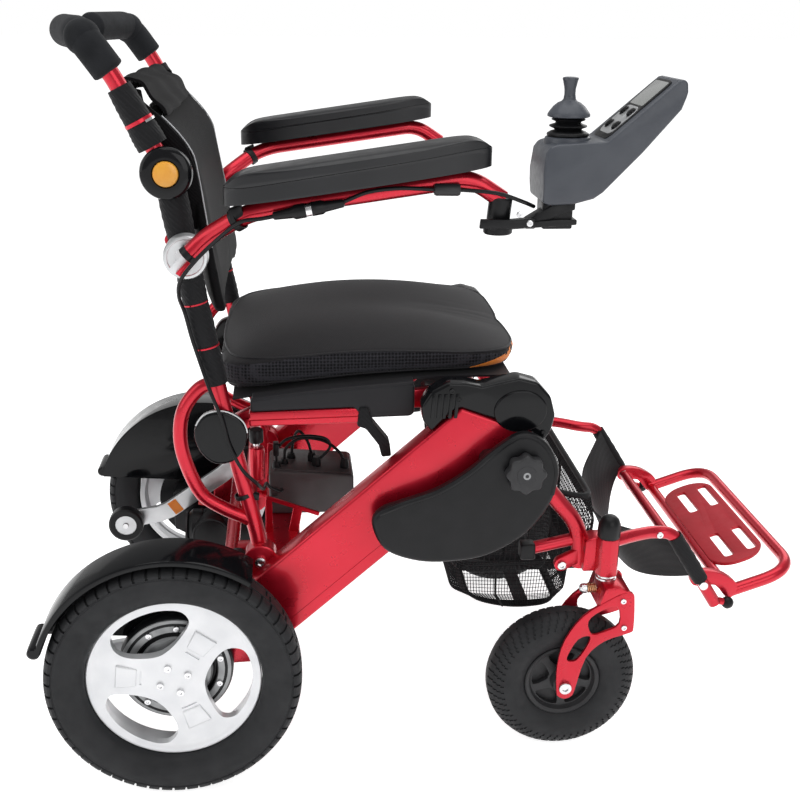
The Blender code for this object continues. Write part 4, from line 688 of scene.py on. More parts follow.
# %% Cast wheels
RIM_SECTION = mm((106, -22.5), (106, 6), (108, 7.8), (108, 9.8), (106.6, 11), (103.2, 11), (100, 9.6),
    (95, 8.8), (70, 9.8), (43, 11.2), (36, 12.4), (12, 12.6), (0.1, 12.6), (0.1, 7), (9.4, 7), (9.4, -9),
    (30, -9), (37, -2), (70, -1), (95, -1.5), (98.5, -5), (98.5, -22.5))
WINDOW = [(-34, 0.0915), (-26, 0.095), (-12, 0.0962), (4, 0.0965), (18, 0.0966), (26, 0.095),
    (31, 0.0905), (35.5, 0.081), (36.5, 0.07), (33, 0.0575), (20, 0.0435), (6, 0.0385), (-8, 0.0385),
    (-27, 0.048), (-38, 0.068), (-39.5, 0.082)]
PAD = ((-12.5, 0.0735), (12.5, 0.0735), (14.5, 0.0475), (-14.5, 0.0475))
PAD_GROOVE = ((-13, 0.0435), (13, 0.0435), (14, 0.041), (-14, 0.041))
AXLE = (0, TYRE_RADIUS)


def wheel_plate(middle, corners, s, y0, y1, *rounding):
    """A plate on the wheel, from (angle, radius) corners round a middle angle."""
    outline = [on_circle(AXLE, r, middle + a) for a, r in corners]
    return plate(outline, s * (WHEEL_Y + y0), s * (WHEEL_Y + y1), *rounding)


for side, s in SIDES.items():
    section = [(r, s * h) for r, h in RIM_SECTION]
    wheel = turned(section, at(0, s * WHEEL_Y, TYRE_RADIUS), (0, 1, 0), 96)
    for k in range(3):
        middle = 114 + 120 * k
        window = ring_outline([on_circle(AXLE, r, middle + a) for a, r in WINDOW], 4)
        carve(wheel, plate(window, s * (WHEEL_Y - 0.03), s * (WHEEL_Y + 0.03)))
        spoke = middle - 60
        carve(wheel, wheel_plate(spoke, PAD, s, 0.006, 0.0128, 0.0016, 3), operation="UNION")
        carve(wheel, wheel_plate(spoke, PAD_GROOVE, s, 0.0098, 0.02))
    soften(wheel, 0.0013, 2, 38)
    hand_over(wheel, f"cast_wheel_{side}", f"rear_wheel_{side}", "cast_rim", cast_alloy,
        [f"rear_rim_{side}"], 30)
    spots = [on_circle(AXLE, 0.0186, a) for a in (112, 22, 202, 292)]
    screws = [side_bolt(x, s * (WHEEL_Y + 0.0122), z, s, 0.0047, 0.0036) for x, z in spots]
    hand_over(joined(screws), f"wheel_screws_{side}", f"rear_wheel_{side}", *STEEL)
    print(wheel.name, "faces", len(wheel.data.polygons))

# %% [markdown]
# Behind each wheel sits a gearbox with a ribbed round housing, which shows through the windows, and
# a motor can that lies along the chair. The housing is a spun drum with a raised ring of bolts.

# %% Gearboxes and motors
DRUM_SECTION = mm((0, 279), (24, 279), (26, 277), (40, 275.5), (48, 270), (50, 270), (52, 276.5),
    (64, 276.5), (70, 274.5), (72, 271.5), (72, 257), (0, 257))
SHAFT = mm((0.1, 270), (9, 270), (9, 294.5), (8, 295), (0.1, 295))
MOTOR_Z = 0.142
MOTOR_Y = 0.168
MOTOR_END = (0.02, 0.148)
for side, s in SIDES.items():
    barrel = turned([(max(r, 0.0001), s * h) for r, h in DRUM_SECTION], at(0, 0, TYRE_RADIUS), (0, 1, 0),
        64)
    box = plate(mm((-46, 118), (-40, 116), (15, 116), (19.7, 122), (19.7, 184), (13, 190), (-40, 190),
        (-46, 184)), s * 0.222, s * 0.26, 0.003)
    rib = plate(mm((-47, 150), (19, 150), (19, 156), (-47, 156)), s * 0.2215, s * 0.256, 0.001)
    can_profile = mm((0.1, -18), (25, -18), (30, -15), (34, -10), (34, 5), (33, 6), (33, 8), (34, 9),
        (34, 90), (32, 95), (20, 96.5), (0.1, 96.5))
    can = turned(can_profile, at(0, s * MOTOR_Y, MOTOR_Z), (1, 0, 0), 48)
    neck = plate(mm((-23, 120), (18, 120), (18, 150), (-23, 150)), s * (MOTOR_Y + 0.01), s * 0.232, 0.003)
    shaft = turned([(r, s * y) for r, y in SHAFT], at(0, 0, TYRE_RADIUS), (0, 1, 0), 32)
    hand_over(joined([barrel, box, rib, neck, can]), f"drive_unit_{side}", "chassis", "motor_housing",
        satin_black, [f"motor_{side}"], 34)
    hand_over(shaft, f"drive_shaft_{side}", "chassis", *STEEL)
    spots = [on_circle(AXLE, 0.058, 36 * k + 14) for k in range(10)]
    bolts = [side_bolt(x, s * 0.2762, z, s, 0.0042, 0.0034) for x, z in spots]
    hand_over(joined(bolts), f"drive_bolts_{side}", "chassis", *STEEL)
    cap = turned(mm((0.1, 0), (29, 0), (29, 3), (27, 3.6), (0.1, 3.6)), at(-0.0216, s * MOTOR_Y, MOTOR_Z),
        (1, 0, 0), 40)
    hand_over(cap, f"motor_cap_{side}", "chassis", "motor_housing", grey_plastic)
    face = turned_out(mm((24.5, 277.5), (26.5, 279.2), (44, 278), (46.5, 275.5)), AXLE, s, 64)
    rim = turned_out(mm((53, 276.4), (53.5, 277.2), (69, 275.8), (70, 274)), AXLE, s, 64)
    ring = turned_out(mm((26.2, 129.6), (28.5, 129.6), (29.6, 131), (29.6, 133), (26.2, 133)), MOTOR_END,
        s, 56)
    hand_over(joined([face, rim]), f"drive_rings_{side}", "chassis", "motor_housing", dull_alloy, (), 34)
    end = turned_out(mm((0.1, 129), (24, 129), (26.2, 130), (28.5, 132.5), (29, 170), (0.1, 170)),
        MOTOR_END, s, 56)
    hand_over(joined([end, ring]), f"motor_end_{side}", "chassis", "motor_housing", satin_black, (), 34)
print("drive units placed")

# %% [markdown]
# A small red lever on each motor lets the wheel turn freely. It is pressed plate with a rolled grip,
# so it starts as a flat outline and is rounded over its whole rim.

# %% Freewheel levers
for side, s in SIDES.items():
    low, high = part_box(f"freewheel_lever_{side}")
    outline = mm((33, 176.5), (51, 176.5), (51, 186), (45, 190), (30, 190.5), (4, 195), (0, 195),
        (0, 190), (20, 186), (33, 185))
    lever = plate(outline, low[1], high[1], 0.0015, 3)
    hand_over(lever, f"free_lever_{side}", f"lever_{side}", "lever_red", lever_red,
        [f"freewheel_lever_{side}"])
print("levers placed")

# %% [markdown]
# The mudguards are polished mouldings that hug the tyre and end in a rolled bulb, so that the edge
# can't cut. The arch is a section swept part of the way round the axle with the same spin that made
# the tyre, and its two open ends are filled.

# %% Mudguards
def arc_swept(section, centre, first, last, steps):
    """Spins a closed (radius, y) section from one angle to another and closes the ends."""
    spots = [(on_circle(centre.xz, radius, first), y) for radius, y in section]
    obj = loop_of([(x, y, z) for (x, z), y in spots])
    bpy.ops.mesh.spin(steps=steps, angle=math.radians(last - first), center=centre, axis=(0, 1, 0))
    bpy.ops.mesh.select_all(action="DESELECT")
    bpy.ops.mesh.select_mode(type="EDGE")
    bpy.ops.mesh.select_non_manifold(extend=False)
    bpy.ops.mesh.edge_face_add()
    return turn_outwards(obj)


MUDGUARD_R = 0.1715
ARCH_START, ARCH_END = 54, 162
ARCH_SECTION = mm((0, 253), (0, 313.5), (1.2, 315.8), (4, 316.8), (7, 316.6), (8, 315.2), (4, 314),
    (3.6, 256), (14, 255), (14, 253))
plate_lower = mm((-162, 204), (-110, 200), (-43, 195), (30, 208), (78, 260))
rear_edge = on_circle(AXLE, MUDGUARD_R, ARCH_END)
arch_line = [on_circle((0, 0), MUDGUARD_R, a) for a in range(ARCH_START, ARCH_END + 1, 4)]
for side, s in SIDES.items():
    section = [(MUDGUARD_R - depth, s * y) for depth, y in ARCH_SECTION]
    arch = arc_swept(section, at(0, 0, TYRE_RADIUS), ARCH_START, ARCH_END, 72)
    bulb = turned_out(mm((0.1, 253.5), (6, 253.5), (8.3, 256), (8.5, 260), (8.5, 310), (7.8, 314.5),
        (5.5, 316.3), (0.1, 316.3)), (rear_edge[0], rear_edge[1]), s, 32)
    outline = [(x * 0.995, TYRE_RADIUS + z * 0.995) for x, z in arch_line]
    inner = plate(outline + plate_lower, s * 0.2514, s * 0.2552, 0.0008)
    hand_over(joined([arch, bulb, inner]), f"mudguard_{side}", "chassis", *GLOSS, [f"fender_{side}"], 35)
print("mudguards swept")

# %% [markdown]
# The front casters are solid grey-black tyres on a five-spoke plastic hub, held in a red plate fork.
# The tyre's shoulder has fine slanting grooves. They are cut by picking every fourth narrow face of
# the spun shoulder, one step further round at each row, and sinking it.

# %% Casters
CASTER_X = 0.504
CASTER_R = 0.1
CASTER_Y = 0.235
SWIVEL_X = 0.558
CASTER_STEPS = 216
SPOKE_GAP = ((-27, 0.0388), (0, 0.0402), (27, 0.0388), (16, 0.0205), (0, 0.019), (-16, 0.0205))
CASTER_HALF = mm((100, 3), (99.8, 7), (97.8, 12), (94, 16.5), (89.5, 20), (84.5, 22.2), (80, 23.2),
    (74, 23.8), (67, 23.4), (60, 21.2), (54, 18), (50.9, 15))
for side, s in SIDES.items():
    axle = at(CASTER_X, s * CASTER_Y, CASTER_R)
    tyre = turned(both_halves(CASTER_HALF), axle, (0, 1, 0), CASTER_STEPS)
    for edge in (1, -1):
        def slanted(face, edge=edge):
            out, radius, turn = on_tread(face, axle, edge, CASTER_STEPS)
            slant = int((radius - 0.08) / 0.0052)
            return 0.08 < radius and 0.009 < out and (turn + slant) % 4 == 0
        pick(tyre, slanted)
        sink(0.0012)
    hand_over(tyre, f"caster_tread_{side}", f"caster_{side}", "tyre", tyre_rubber,
        [f"caster_tyre_{side}"], 28)

    hub = turned(mm((50.5, -16.5), (50.5, 16.5), (48.5, 17.8), (44.5, 15.5), (41.5, 9.5), (16, 12),
        (14, 26), (5.5, 26.5), (5.5, -26.5), (14, -26), (16, -12), (41.5, -9.5), (44.5, -15.5),
        (48.5, -17.8)), axle, (0, 1, 0), 80)
    for k in range(5):
        shape = [on_circle((CASTER_X, CASTER_R), r, 72 * k + 20 + a) for a, r in SPOKE_GAP]
        carve(hub, plate(ring_outline(shape, 3), s * (CASTER_Y - 0.03), s * (CASTER_Y + 0.03)))
    soften(hub, 0.0008, 2, 40)
    web = turned(mm((13, -2), (42, -2), (42, 2), (13, 2)), axle, (0, 1, 0), 60)
    hand_over(joined([hub, web]), f"caster_wheel_{side}", f"caster_{side}", "caster_core", grey_plastic,
        [f"caster_hub_{side}"], 30)
print("caster wheels placed")

# %% Caster forks
FORK_PLATE = mm((-11, -5), (-12, 33), (-4, 70), (19, 105), (51, 127), (74, 137.5), (83, 135), (85.5, 124),
    (87, 86), (82, 77.5), (50, 67), (26, 43), (14, -4), (10, -14), (1, -18), (-8, -14))
FORK_UPPER = mm((26, 97), (41, 111), (63, 117), (67, 92), (49, 81.5), (32, 78))
FORK_LOWER = mm((2, 49), (14, 71), (29, 75), (27, 62), (14, 41), (2, 40))


def on_fork(points):
    return [(CASTER_X + x, CASTER_R + z) for x, z in points]


SPRING_Z = 0.229
SPRING_R = 0.0054
for side, s in SIDES.items():
    mid = s * CASTER_Y
    cheeks = []
    for face in (-1, 1):
        y0 = mid + face * 0.0271
        y1 = mid + face * 0.0319
        cheek = plate(ring_outline(on_fork(FORK_PLATE), 3), y0, y1)
        for window in (FORK_UPPER, FORK_LOWER):
            carve(cheek, plate(ring_outline(on_fork(window), 3), y0 - 0.01, y1 + 0.01))
        cheeks.append(soften(cheek, 0.0009, 2, 50))
    crown = mm((38, 115), (46, 142), (50, 143.5), (66, 143.5), (80, 136), (84.5, 129), (64, 133.5),
        (50, 120))
    bridge = plate(on_fork(crown), mid - 0.0312, mid + 0.0312, 0.0012)
    hand_over(joined([*cheeks, bridge]), f"fork_plates_{side}", f"fork_{side}", *RED,
        [f"caster_fork_{side}"], 34)
    collar = turned_up(mm((0.1, 243), (12.8, 243), (13.5, 244), (13.5, 246.2), (11.8, 247), (11.5, 249.5),
        (0.1, 249.5)), SWIVEL_X, mid, 40)
    pin = turned(mm((0.1, -34.5), (4.5, -34.5), (5, -34), (5, 34), (4.5, 34.5), (0.1, 34.5)),
        at(CASTER_X, mid, CASTER_R), (0, 1, 0), 28)
    nuts = [side_bolt(CASTER_X, mid + f * 0.0318, CASTER_R, f, 0.0085, 0.005) for f in (-1, 1)]
    extra = [side_bolt(x, mid + f * 0.0316, z, f, 0.0038, 0.0028) for f in (-1, 1)
        for x, z in on_fork(((0.07, 0.1255), (0.0735, 0.0865)))]
    stud = swept([(0.529, mid, SPRING_Z), (0.556, mid, SPRING_Z)], 0.003, 4)
    acorn = turned(mm((0.1, 0), (4, 0.5), (6.2, 3), (6.6, 6), (6.6, 9), (0.1, 9)),
        at(0.5235, mid, SPRING_Z), (1, 0, 0), 28)
    hand_over(joined([collar, pin, *nuts, *extra, stud, acorn]), f"fork_hardware_{side}", f"fork_{side}",
        *STEEL)
    coil = [(0.5335 + 0.0125 * k / 60, mid + SPRING_R * math.cos(k * math.tau / 12),
        SPRING_Z + SPRING_R * math.sin(k * math.tau / 12)) for k in range(61)]
    hand_over(swept(coil, 0.001, 2), f"fork_spring_{side}", f"fork_{side}", "bright_disc", copper_wire,
        (), 60)
print("forks placed")

# %% [markdown]
# Two red box beams are the backbone. Each is a deep aluminium section with rounded corners, running
# from the drive axle up to the fold hinge. A flat outline extruded to the beam's width gives the
# section, and a generous bevel gives the soft corners of an extrusion.

# %% Beams
BEAM = mm((358, 489), (448, 454), (265, 293), (152, 195), (96, 148), (36, 146), (20, 160), (20, 194))
LINK = (0.109, 0.279)
BEAM_SKIN = 0.2508
for side, s in SIDES.items():
    body = plate(BEAM, s * 0.217, s * 0.251, 0.0038, 4, 25)
    groove = plate(mm((292, 342), (294.5, 339), (140, 205), (137.5, 208)), s * 0.2503, s * 0.252)
    carve(body, groove)
    ear = turned_out(mm((0.1, 217.2), (20, 217.2), (21.5, 218.2), (21.5, 224.5), (20, 225.5),
        (0.1, 225.5)), LINK, s, 40)
    hand_over(joined([body, ear]), f"box_beam_{side}", "chassis", *RED, [f"beam_{side}"], 30)
    bolts = [side_bolt(LINK[0], s * 0.2254, LINK[1], s, 0.0075, 0.005), side_bolt(0.1265, s * BEAM_SKIN,
        0.224, s, 0.005, 0.003), side_bolt(0.05, s * BEAM_SKIN, 0.166, s, 0.005, 0.003)]
    hand_over(joined(bolts), f"beam_bolts_{side}", "chassis", *STEEL)
print("beams placed")

# %% [markdown]
# The fold hinge is boxed in by a glossy moulding with a ribbed rear lobe and a raised oval boss over
# the bolt. The boss and the ribs are thin plates of their own, each with its edges rounded, and they
# stand a little proud of the cover that they are joined with.

# %% Hinge covers
COVER = mm((322, 459.2), (311, 474), (309.5, 493), (320, 510), (342, 522), (362, 521.2), (383, 516.5),
    (404, 521.5), (428, 526.2), (452, 519.5), (468.5, 501), (475, 477), (470, 454.5), (460, 443),
    (450, 448), (448, 455), (358, 489.5), (346, 485))
for side, s in SIDES.items():
    cover = plate(COVER, s * 0.2196, s * 0.2505, 0.005, 4, 25)
    turns = [math.tau * k / 36 for k in range(36)]
    boss = [(0.431 + 0.033 * math.cos(a), 0.484 + 0.027 * math.sin(a)) for a in turns]
    lens = plate(boss, s * 0.248, s * 0.2532, 0.0022, 4)
    ribs = []
    for k in range(5):
        x = 0.32 + k * 0.0072
        ribs.append(plate([(x, 0.477), (x + 0.0042, 0.477), (x + 0.0062, 0.508), (x + 0.002, 0.508)],
            s * 0.249, s * 0.2526, 0.0009, 2))
    hand_over(joined([cover, lens, *ribs]), f"fold_cover_{side}", "chassis", *GLOSS,
        [f"hinge_cover_{side}"], 30)
    screws = [side_bolt(x, s * 0.25, z, s, 0.0034, 0.0026) for x, z in ((0.346, 0.512), (0.3545, 0.5),
        (0.46, 0.455))]
    hand_over(joined(screws), f"cover_screws_{side}", "chassis", *GLOSS)
print("hinge covers placed")

# %% [markdown]
# Outside the beam a kidney-shaped satin guard keeps clothes out of the fold. Its upper edge has a
# rolled lip. A star knob with a steel bolt in it holds the guard.

# %% Guards and star knobs
GUARD = mm((247, 352), (262, 318), (298, 301), (340, 297), (392, 305), (440, 334), (470, 378), (475, 420),
    (459, 453), (430, 466), (398, 448), (366, 420), (328, 396), (285, 381), (258, 371))
LIP = mm((256, 366), (285, 377.5), (328, 392.5), (366, 416.5), (398, 444.5), (429, 462.5), (456, 450),
    (471.5, 419), (468, 385))
KNOB = (0.432, 0.419)
for side, s in SIDES.items():
    guard = plate(ring_outline(GUARD, 5), s * 0.265, s * 0.283, 0.0068, 6, 25)
    lip = swept(flowing([(x, s * 0.2798, z) for x, z in LIP], 5), 0.004, 4)
    bosses = [turned_out(mm((0.1, 251.3), (11, 251.3), (11, 267), (0.1, 267)), (x, z), s, 24)
        for x, z in ((0.332, 0.376), (0.392, 0.425))]
    hand_over(joined([guard, lip, *bosses]), f"side_guard_{side}", "chassis", "matt_cover", satin_black,
        [f"guard_{side}"], 30)

    lobes = []
    for k in range(96):
        a = math.tau * k / 96
        r = 0.025 - 0.0034 * (1 - math.cos(8 * a)) / 2
        lobes.append((KNOB[0] + r * math.cos(a), KNOB[1] + r * math.sin(a)))
    star = plate(lobes, s * 0.2845, s * 0.301, 0.0026, 3, 50)
    hat = turned_out(mm((0.1, 299), (13, 299), (12, 301.5), (0.1, 302)), KNOB, s, 36)
    hand_over(joined([star, hat]), f"star_grip_{side}", f"knob_{side}", "knob_plastic", grey_plastic,
        [f"star_knob_{side}"], 34)
    screw = side_bolt(KNOB[0], s * 0.2992, KNOB[1], s, 0.0048, 0.003)
    hand_over(screw, f"star_screw_{side}", f"knob_{side}", "bright_disc", dull_alloy)
print("guards placed")

# %% [markdown]
# Between the beams run a round cross tube and a welded box, and from the tube two flat bars reach
# back to small wheels that stop the chair from tipping over.

# %% Cross member and anti-tip bars
def flat_bar(points, height):
    """The outline of a flat bar along the points, round at its far end."""
    points = [Vector(p) for p in points]
    upper, lower = [], []
    for k, point in enumerate(points):
        before = (point - points[k - 1]).normalized() if k else (points[1] - point).normalized()
        after = (points[k + 1] - point).normalized() if k + 1 < len(points) else before
        along = (before + after).normalized()
        across = Vector((-along.y, along.x)) * height / 2
        upper.append(tuple(point - across))
        lower.append(tuple(point + across))
    along = (points[-1] - points[-2]).normalized()
    nose = []
    for k in range(1, 10):
        a = math.pi * k / 10
        turn = Vector((along.x * math.sin(a) + along.y * math.cos(a),
            along.y * math.sin(a) - along.x * math.cos(a)))
        nose.append(tuple(points[-1] + turn * height / 2))
    return upper + nose + lower[::-1]


TIP_AXLE = (-0.121, 0.1437)
DECAL_ENDS = [(-0.035, 0.1705), (-0.048, 0.1617)]
BEAM_GAP = 0.2167
TIP_BAR = mm((66, 242), (50, 231), (36, 219.5), (-51, 160), (-68, 153), (-83.5, 150.7), (-121, 143.7))
cross = [cross_bar(0.066, 0.237, BEAM_GAP, 0.01, 8)]
cross.append(plate(mm((112, 205), (160, 205), (160, 261.7), (112, 261.7)), -BEAM_GAP, BEAM_GAP, 0.003, 3))
BRACKETS = [(mm((66, 231), (116, 231), (116, 243), (66, 243)), 0.085, 0.11, 0.0015, 2),
    (mm((114, 310), (186, 283), (188, 288.5), (116, 315.5)), 0.098, 0.1015, 0.0006, 1),
    (mm((144, 260), (158, 260), (164, 293), (152, 298)), 0.0985, 0.101, 0.0006, 1),
    (mm((113, 260), (123, 260), (123, 311), (114, 315)), 0.0985, 0.101, 0.0006, 1),
    (mm((60, 236), (72, 234), (84, 260), (72, 266)), 0.181, 0.186, 0.001, 2)]
for s in SIDES.values():
    cross += [plate(shape, s * y0, s * y1, bevel, cuts) for shape, y0, y1, bevel, cuts in BRACKETS]
hand_over(joined(cross), "beam_cross", "chassis", *RED, ["rear_cross"], 30)
stops = [turned_out(mm((0.1, 176), (11, 176), (12.5, 177.5), (12.5, 190.5), (11, 192.5), (0.1, 192.5)),
    (0.078, 0.264), s, 40) for s in SIDES.values()]
hand_over(joined(stops), "fold_stops", "chassis", *SATIN, (), 34)
for side, s in SIDES.items():
    bar = plate(flat_bar(TIP_BAR, 0.0275), s * 0.2062, s * 0.2158, 0.0014, 3, 50)
    hand_over(bar, f"antitip_bar_{side}", "chassis", *ALLOY, (), 30)
    mark = flat_bar(DECAL_ENDS, 0.0236)
    strip = plate(mark[:2] + mark[-2:], s * 0.2057, s * 0.2061)
    hand_over(strip, f"antitip_mark_{side}", "chassis", "button_orange", signal_orange, (), 0)
    low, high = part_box(f"antitip_wheel_{side}")
    centre = (Vector(low) + Vector(high)) / 2
    tread = turned(mm((17, -9.8), (25, -10), (27.6, -7.8), (28, -5), (28, 5), (27.6, 7.8), (25, 10),
        (17, 9.8)), centre, (0, 1, 0), 48)
    hand_over(tread, f"antitip_tread_{side}", f"antitip_{side}", *SATIN, [f"antitip_wheel_{side}"], 34)
    core = turned(mm((4.8, -9.2), (17.2, -8.5), (17.2, 8.5), (4.8, 9.2)), centre, (0, 1, 0), 36)
    hand_over(core, f"antitip_core_{side}", f"antitip_{side}", *ALLOY, (), 34)
    pin = side_bolt(TIP_AXLE[0], s * 0.2156, TIP_AXLE[1], s, 0.0062, 0.004)
    shaft = swept([(TIP_AXLE[0], s * y, TIP_AXLE[1]) for y in (0.1835, 0.215)], 0.0044, 5)
    hand_over(joined([pin, shaft]), f"antitip_pin_{side}", "chassis", *STEEL, (), 34)
print("cross member placed")

# %% [markdown]
# The motor controller is a finned grey box hung under the seat on the welded box. Its row of slots is
# cut out of a rounded block, and a thin lid lies on it.

# %% Controller box
CASE = mm((118, 263), (150, 262), (222, 262), (229, 268), (238, 290), (238, 316), (235, 320), (126, 329),
    (118, 324))
case = plate(CASE, -0.045, 0.045, 0.003, 3)
for z in (0.279, 0.29, 0.301):
    carve(case, plate([(0.122, z), (0.13, z), (0.13, z + 0.0045), (0.122, z + 0.0045)], -0.046, -0.0425))
lid = plate(mm((126, 327), (233, 318.6), (233, 321.8), (126, 330.2)), -0.041, 0.041, 0.001)
hand_over(joined([case, lid]), "controller_case", "chassis", "control_case", case_grey,
    ["controller_box"], 30)
for side in SIDES:
    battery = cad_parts[f"battery_{side}"]
    battery.data.materials.clear()
    battery.data.materials.append(grey_plastic)


def wire_loop(name, points, thickness):
    """A lead that leaves the controller, loops in the air and goes back into a plug on it."""
    line = flowing(points, 8)
    piece = swept(line, thickness / 2, 5)
    hand_over(piece, name, "chassis", *RUBBER, (), 60)


LOOPS = [mm((129, -30, 332), (130, -36, 356), (144, -36, 372), (170, -28, 374), (198, -18, 366),
    (206, -14, 352), (196, -18, 340), (186, -20, 333)), mm((140, -16, 330), (143, -18, 352),
    (164, -12, 364), (196, -12, 360), (218, -20, 346), (226, -22, 330)), mm((150, 6, 330), (154, 8, 356),
    (162, 2, 370), (174, -2, 356), (180, -2, 333))]
for number, loop in enumerate(LOOPS, 1):
    wire_loop(f"controller_wire_{number}", loop, 0.0042)
plugs = []
for loop in LOOPS:
    for x, y, z in (loop[0], loop[-1]):
        plugs.append(turned_up([(0.0001, 0.318), (0.0064, 0.318), (0.0064, z - 0.001),
            (0.0048, z + 0.006), (0.0001, z + 0.006)], x, y, 28))
link = plate(mm((125, 350), (133, 350), (133, 368), (125, 368)), -0.044, -0.028, 0.0015)
hand_over(joined([*plugs, link]), "controller_plugs", "chassis", "control_case", satin_black, (), 34)
print("controller placed, faces", len(case.data.polygons))

# %% [markdown]
# The front frame is bent tube: two side tubes from the fold hinge down to the caster barrels, the
# hangers of the footrest, and short rest arms under the bag. Round section swept along the bend
# lines gives the real curves, and plates and barrels are welded on where the tubes meet.

# %% Front frame
FOLD = (0.431, 0.483)
ROCKER = (0.332, 0.484)
FOOT = (0.702, 0.212)
HANGER_Y = 0.201
DRUM_BEVEL = 0.001


def eye_plate(first, second, first_radius, second_radius, y0, y1):
    """Two round eyes joined by a straight web."""
    a, b = Vector(first), Vector(second)
    heading = math.atan2(b.y - a.y, b.x - a.x)
    points = []
    for centre, radius, quarter in ((a, first_radius, math.pi / 2), (b, second_radius, -math.pi / 2)):
        for k in range(17):
            turn = heading + quarter + math.pi * k / 16
            points.append((centre.x + radius * math.cos(turn), centre.y + radius * math.sin(turn)))
    return plate(points, y0, y1, 0.0008, 2, 50)


def drum(centre, radius, y0, y1):
    """A short round boss across the chair, with its rims broken."""
    low, high = min(y0, y1), max(y0, y1)
    inner = radius - DRUM_BEVEL
    return turned([(0.0001, low), (inner, low), (radius, low + DRUM_BEVEL), (radius, high - DRUM_BEVEL),
        (inner, high), (0.0001, high)], at(centre[0], 0, centre[1]), (0, 1, 0), 40)


FRAME_Y = 0.205
parts, bright, black = [], [], []
for side, s in SIDES.items():
    line = [FOLD, (0.443, 0.413), (0.49, 0.347), (0.526, 0.306), (0.53, 0.248)]
    parts.append(swept(bent([(x, s * FRAME_Y, z) for x, z in line], 0.04, 10), 0.0112, 8))
    parts.append(drum(FOLD, 0.02, s * 0.1948, s * 0.2167))
    parts.append(eye_plate(FOLD, ROCKER, 0.015, 0.012, s * 0.1945, s * 0.209))
    barrel = turned_up(mm((0.1, 250), (14, 250), (15, 251), (15, 302), (14, 303), (0.1, 303)), SWIVEL_X,
        s * CASTER_Y, 8)
    parts.append(soften(barrel, 0.0008, 2, 30))
    dome = turned_up(mm((0.1, 303.2), (14.2, 303.2), (14.8, 304.5), (14.8, 315), (14.2, 321.5),
        (12, 327.5), (8, 331.5), (4, 332.9), (0.1, 333.1)), SWIVEL_X, s * CASTER_Y, 40)
    black.append(dome)
    parts.append(plate(mm((527, 252), (556, 252), (556, 300), (540, 300), (529, 296)), s * 0.206,
        s * 0.233, 0.002))
    parts.append(eye_plate((0.53, 0.268), (0.503, 0.254), 0.009, 0.0095, s * 0.205, s * 0.215))
    y = s * HANGER_Y
    hanger = [(SWIVEL_X, s * 0.233, 0.293), (0.596, s * 0.216, 0.294), (0.628, y, 0.291),
        (0.655, y, 0.2885), (0.724, y, 0.18)]
    parts.append(swept(bent(hanger, 0.026, 8), 0.0085, 8))
    parts.append(swept([(0.722, y, 0.185), (0.742, y, 0.18)], 0.005, 6))
    parts.append(swept([(0.466, s * 0.202, 0.274), (0.533, s * 0.202, 0.288)], 0.0085, 8))
    black.append(plate(mm((448, 261), (468, 261), (468, 283), (448, 283)), s * 0.193, s * 0.213, 0.003,
        3))
    ball = turned(mm((0.1, -8.5), (4, -7.7), (7, -5), (8.4, -1.5), (8.4, 2), (6.8, 5.2), (3.8, 7.8),
        (0.1, 8.5)), at(0.742, y, 0.18), (0, 0, 1), 28)
    black.append(ball)
    bright.append(side_bolt(0.503, s * 0.2148, 0.254, s, 0.006, 0.0045))
    bright.append(side_bolt(0.635, s * 0.209, 0.29, s, 0.0045, 0.003))
parts.append(cross_bar(0.385, 0.478, 0.198, 0.01, 8))
parts.append(cross_bar(*FOOT, 0.176, 0.0078, 8))
bright.append(cross_bar(*FOOT, 0.212, 0.0058, 6))
hand_over(joined(parts), "front_tubes", "front", *RED, ["front_frame"], 30)
hand_over(joined(bright), "front_hardware", "front", *STEEL, (), 34)
hand_over(joined(black), "front_caps", "front", *SATIN, (), 34)
print("front frame placed")

# %% [markdown]
# The back frame is one pair of uprights with a bow behind each, which carries the fold link. The
# bends follow the frame's own bend points, so that the tubes keep their true line.

# %% Back frame
SEAT = (0.075, 0.45)
UPRIGHT_BEND = (0.04, 0.622)
ARM_PIVOT = (0.035, 0.676)
HUB = (0.017, 0.77)
BOW = mm((62, 515), (40, 506), (20, 478), (14.5, 440), (22, 402), (38, 366), (64, 346), (96, 330))
PIVOT_COVER = mm((33, 455), (40, 430), (58, 414.5), (82, 419), (97, 444), (93, 469), (70, 483), (45, 478))
parts, bright, ties = [], [], []
for side, s in SIDES.items():
    y = s * FRAME_Y
    line = [LINK, (0.106, 0.306), SEAT, UPRIGHT_BEND, HUB]
    parts.append(swept(bent([(x, y, z) for x, z in line], 0.04, 8), 0.0105, 8))
    parts.append(drum(LINK, 0.0205, s * 0.196, s * 0.2167))
    parts.append(drum(HUB, 0.019, s * 0.1955, s * 0.2155))
    parts.append(swept(flowing([(x, y, z) for x, z in BOW], 8), 0.0088, 8))
    parts.append(drum(ARM_PIVOT, 0.012, s * 0.209, s * 0.219))
    outline = ring_outline(PIVOT_COVER, 5)
    cover = plate(outline, s * 0.2135, s * 0.2262, 0.004, 4, 25)
    hand_over(cover, f"pivot_cover_{side}", "back", *GLOSS, (), 30)
    # A bright alloy bead only along the upper part of the cover's rim is a painted highlight of that
    # edge.
    rim_highlight = swept([(x, s * 0.224, z) for x, z in outline[22:39]], 0.001, 3)
    hand_over(rim_highlight, f"pivot_rim_highlight_{side}", "back", *ALLOY, (), 34)
    bright.append(side_bolt(HUB[0], s * 0.1965, HUB[1], -s, 0.006, 0.0034))
    ties.append(turned(mm((10.6, -3), (12, -2.6), (12, 2.6), (10.6, 3)), at(0.09, y, 0.364),
        (-0.35, 0, 0.94), 32))
    ties.append(plate(mm((98.5, 360), (108.5, 357), (109.5, 365), (99, 369)), s * 0.202, s * 0.211,
        0.0012))
for x, z in ((0.0965, 0.342), (0.017, 0.69)):
    parts.append(cross_bar(x, z, FRAME_Y, 0.008, 7))
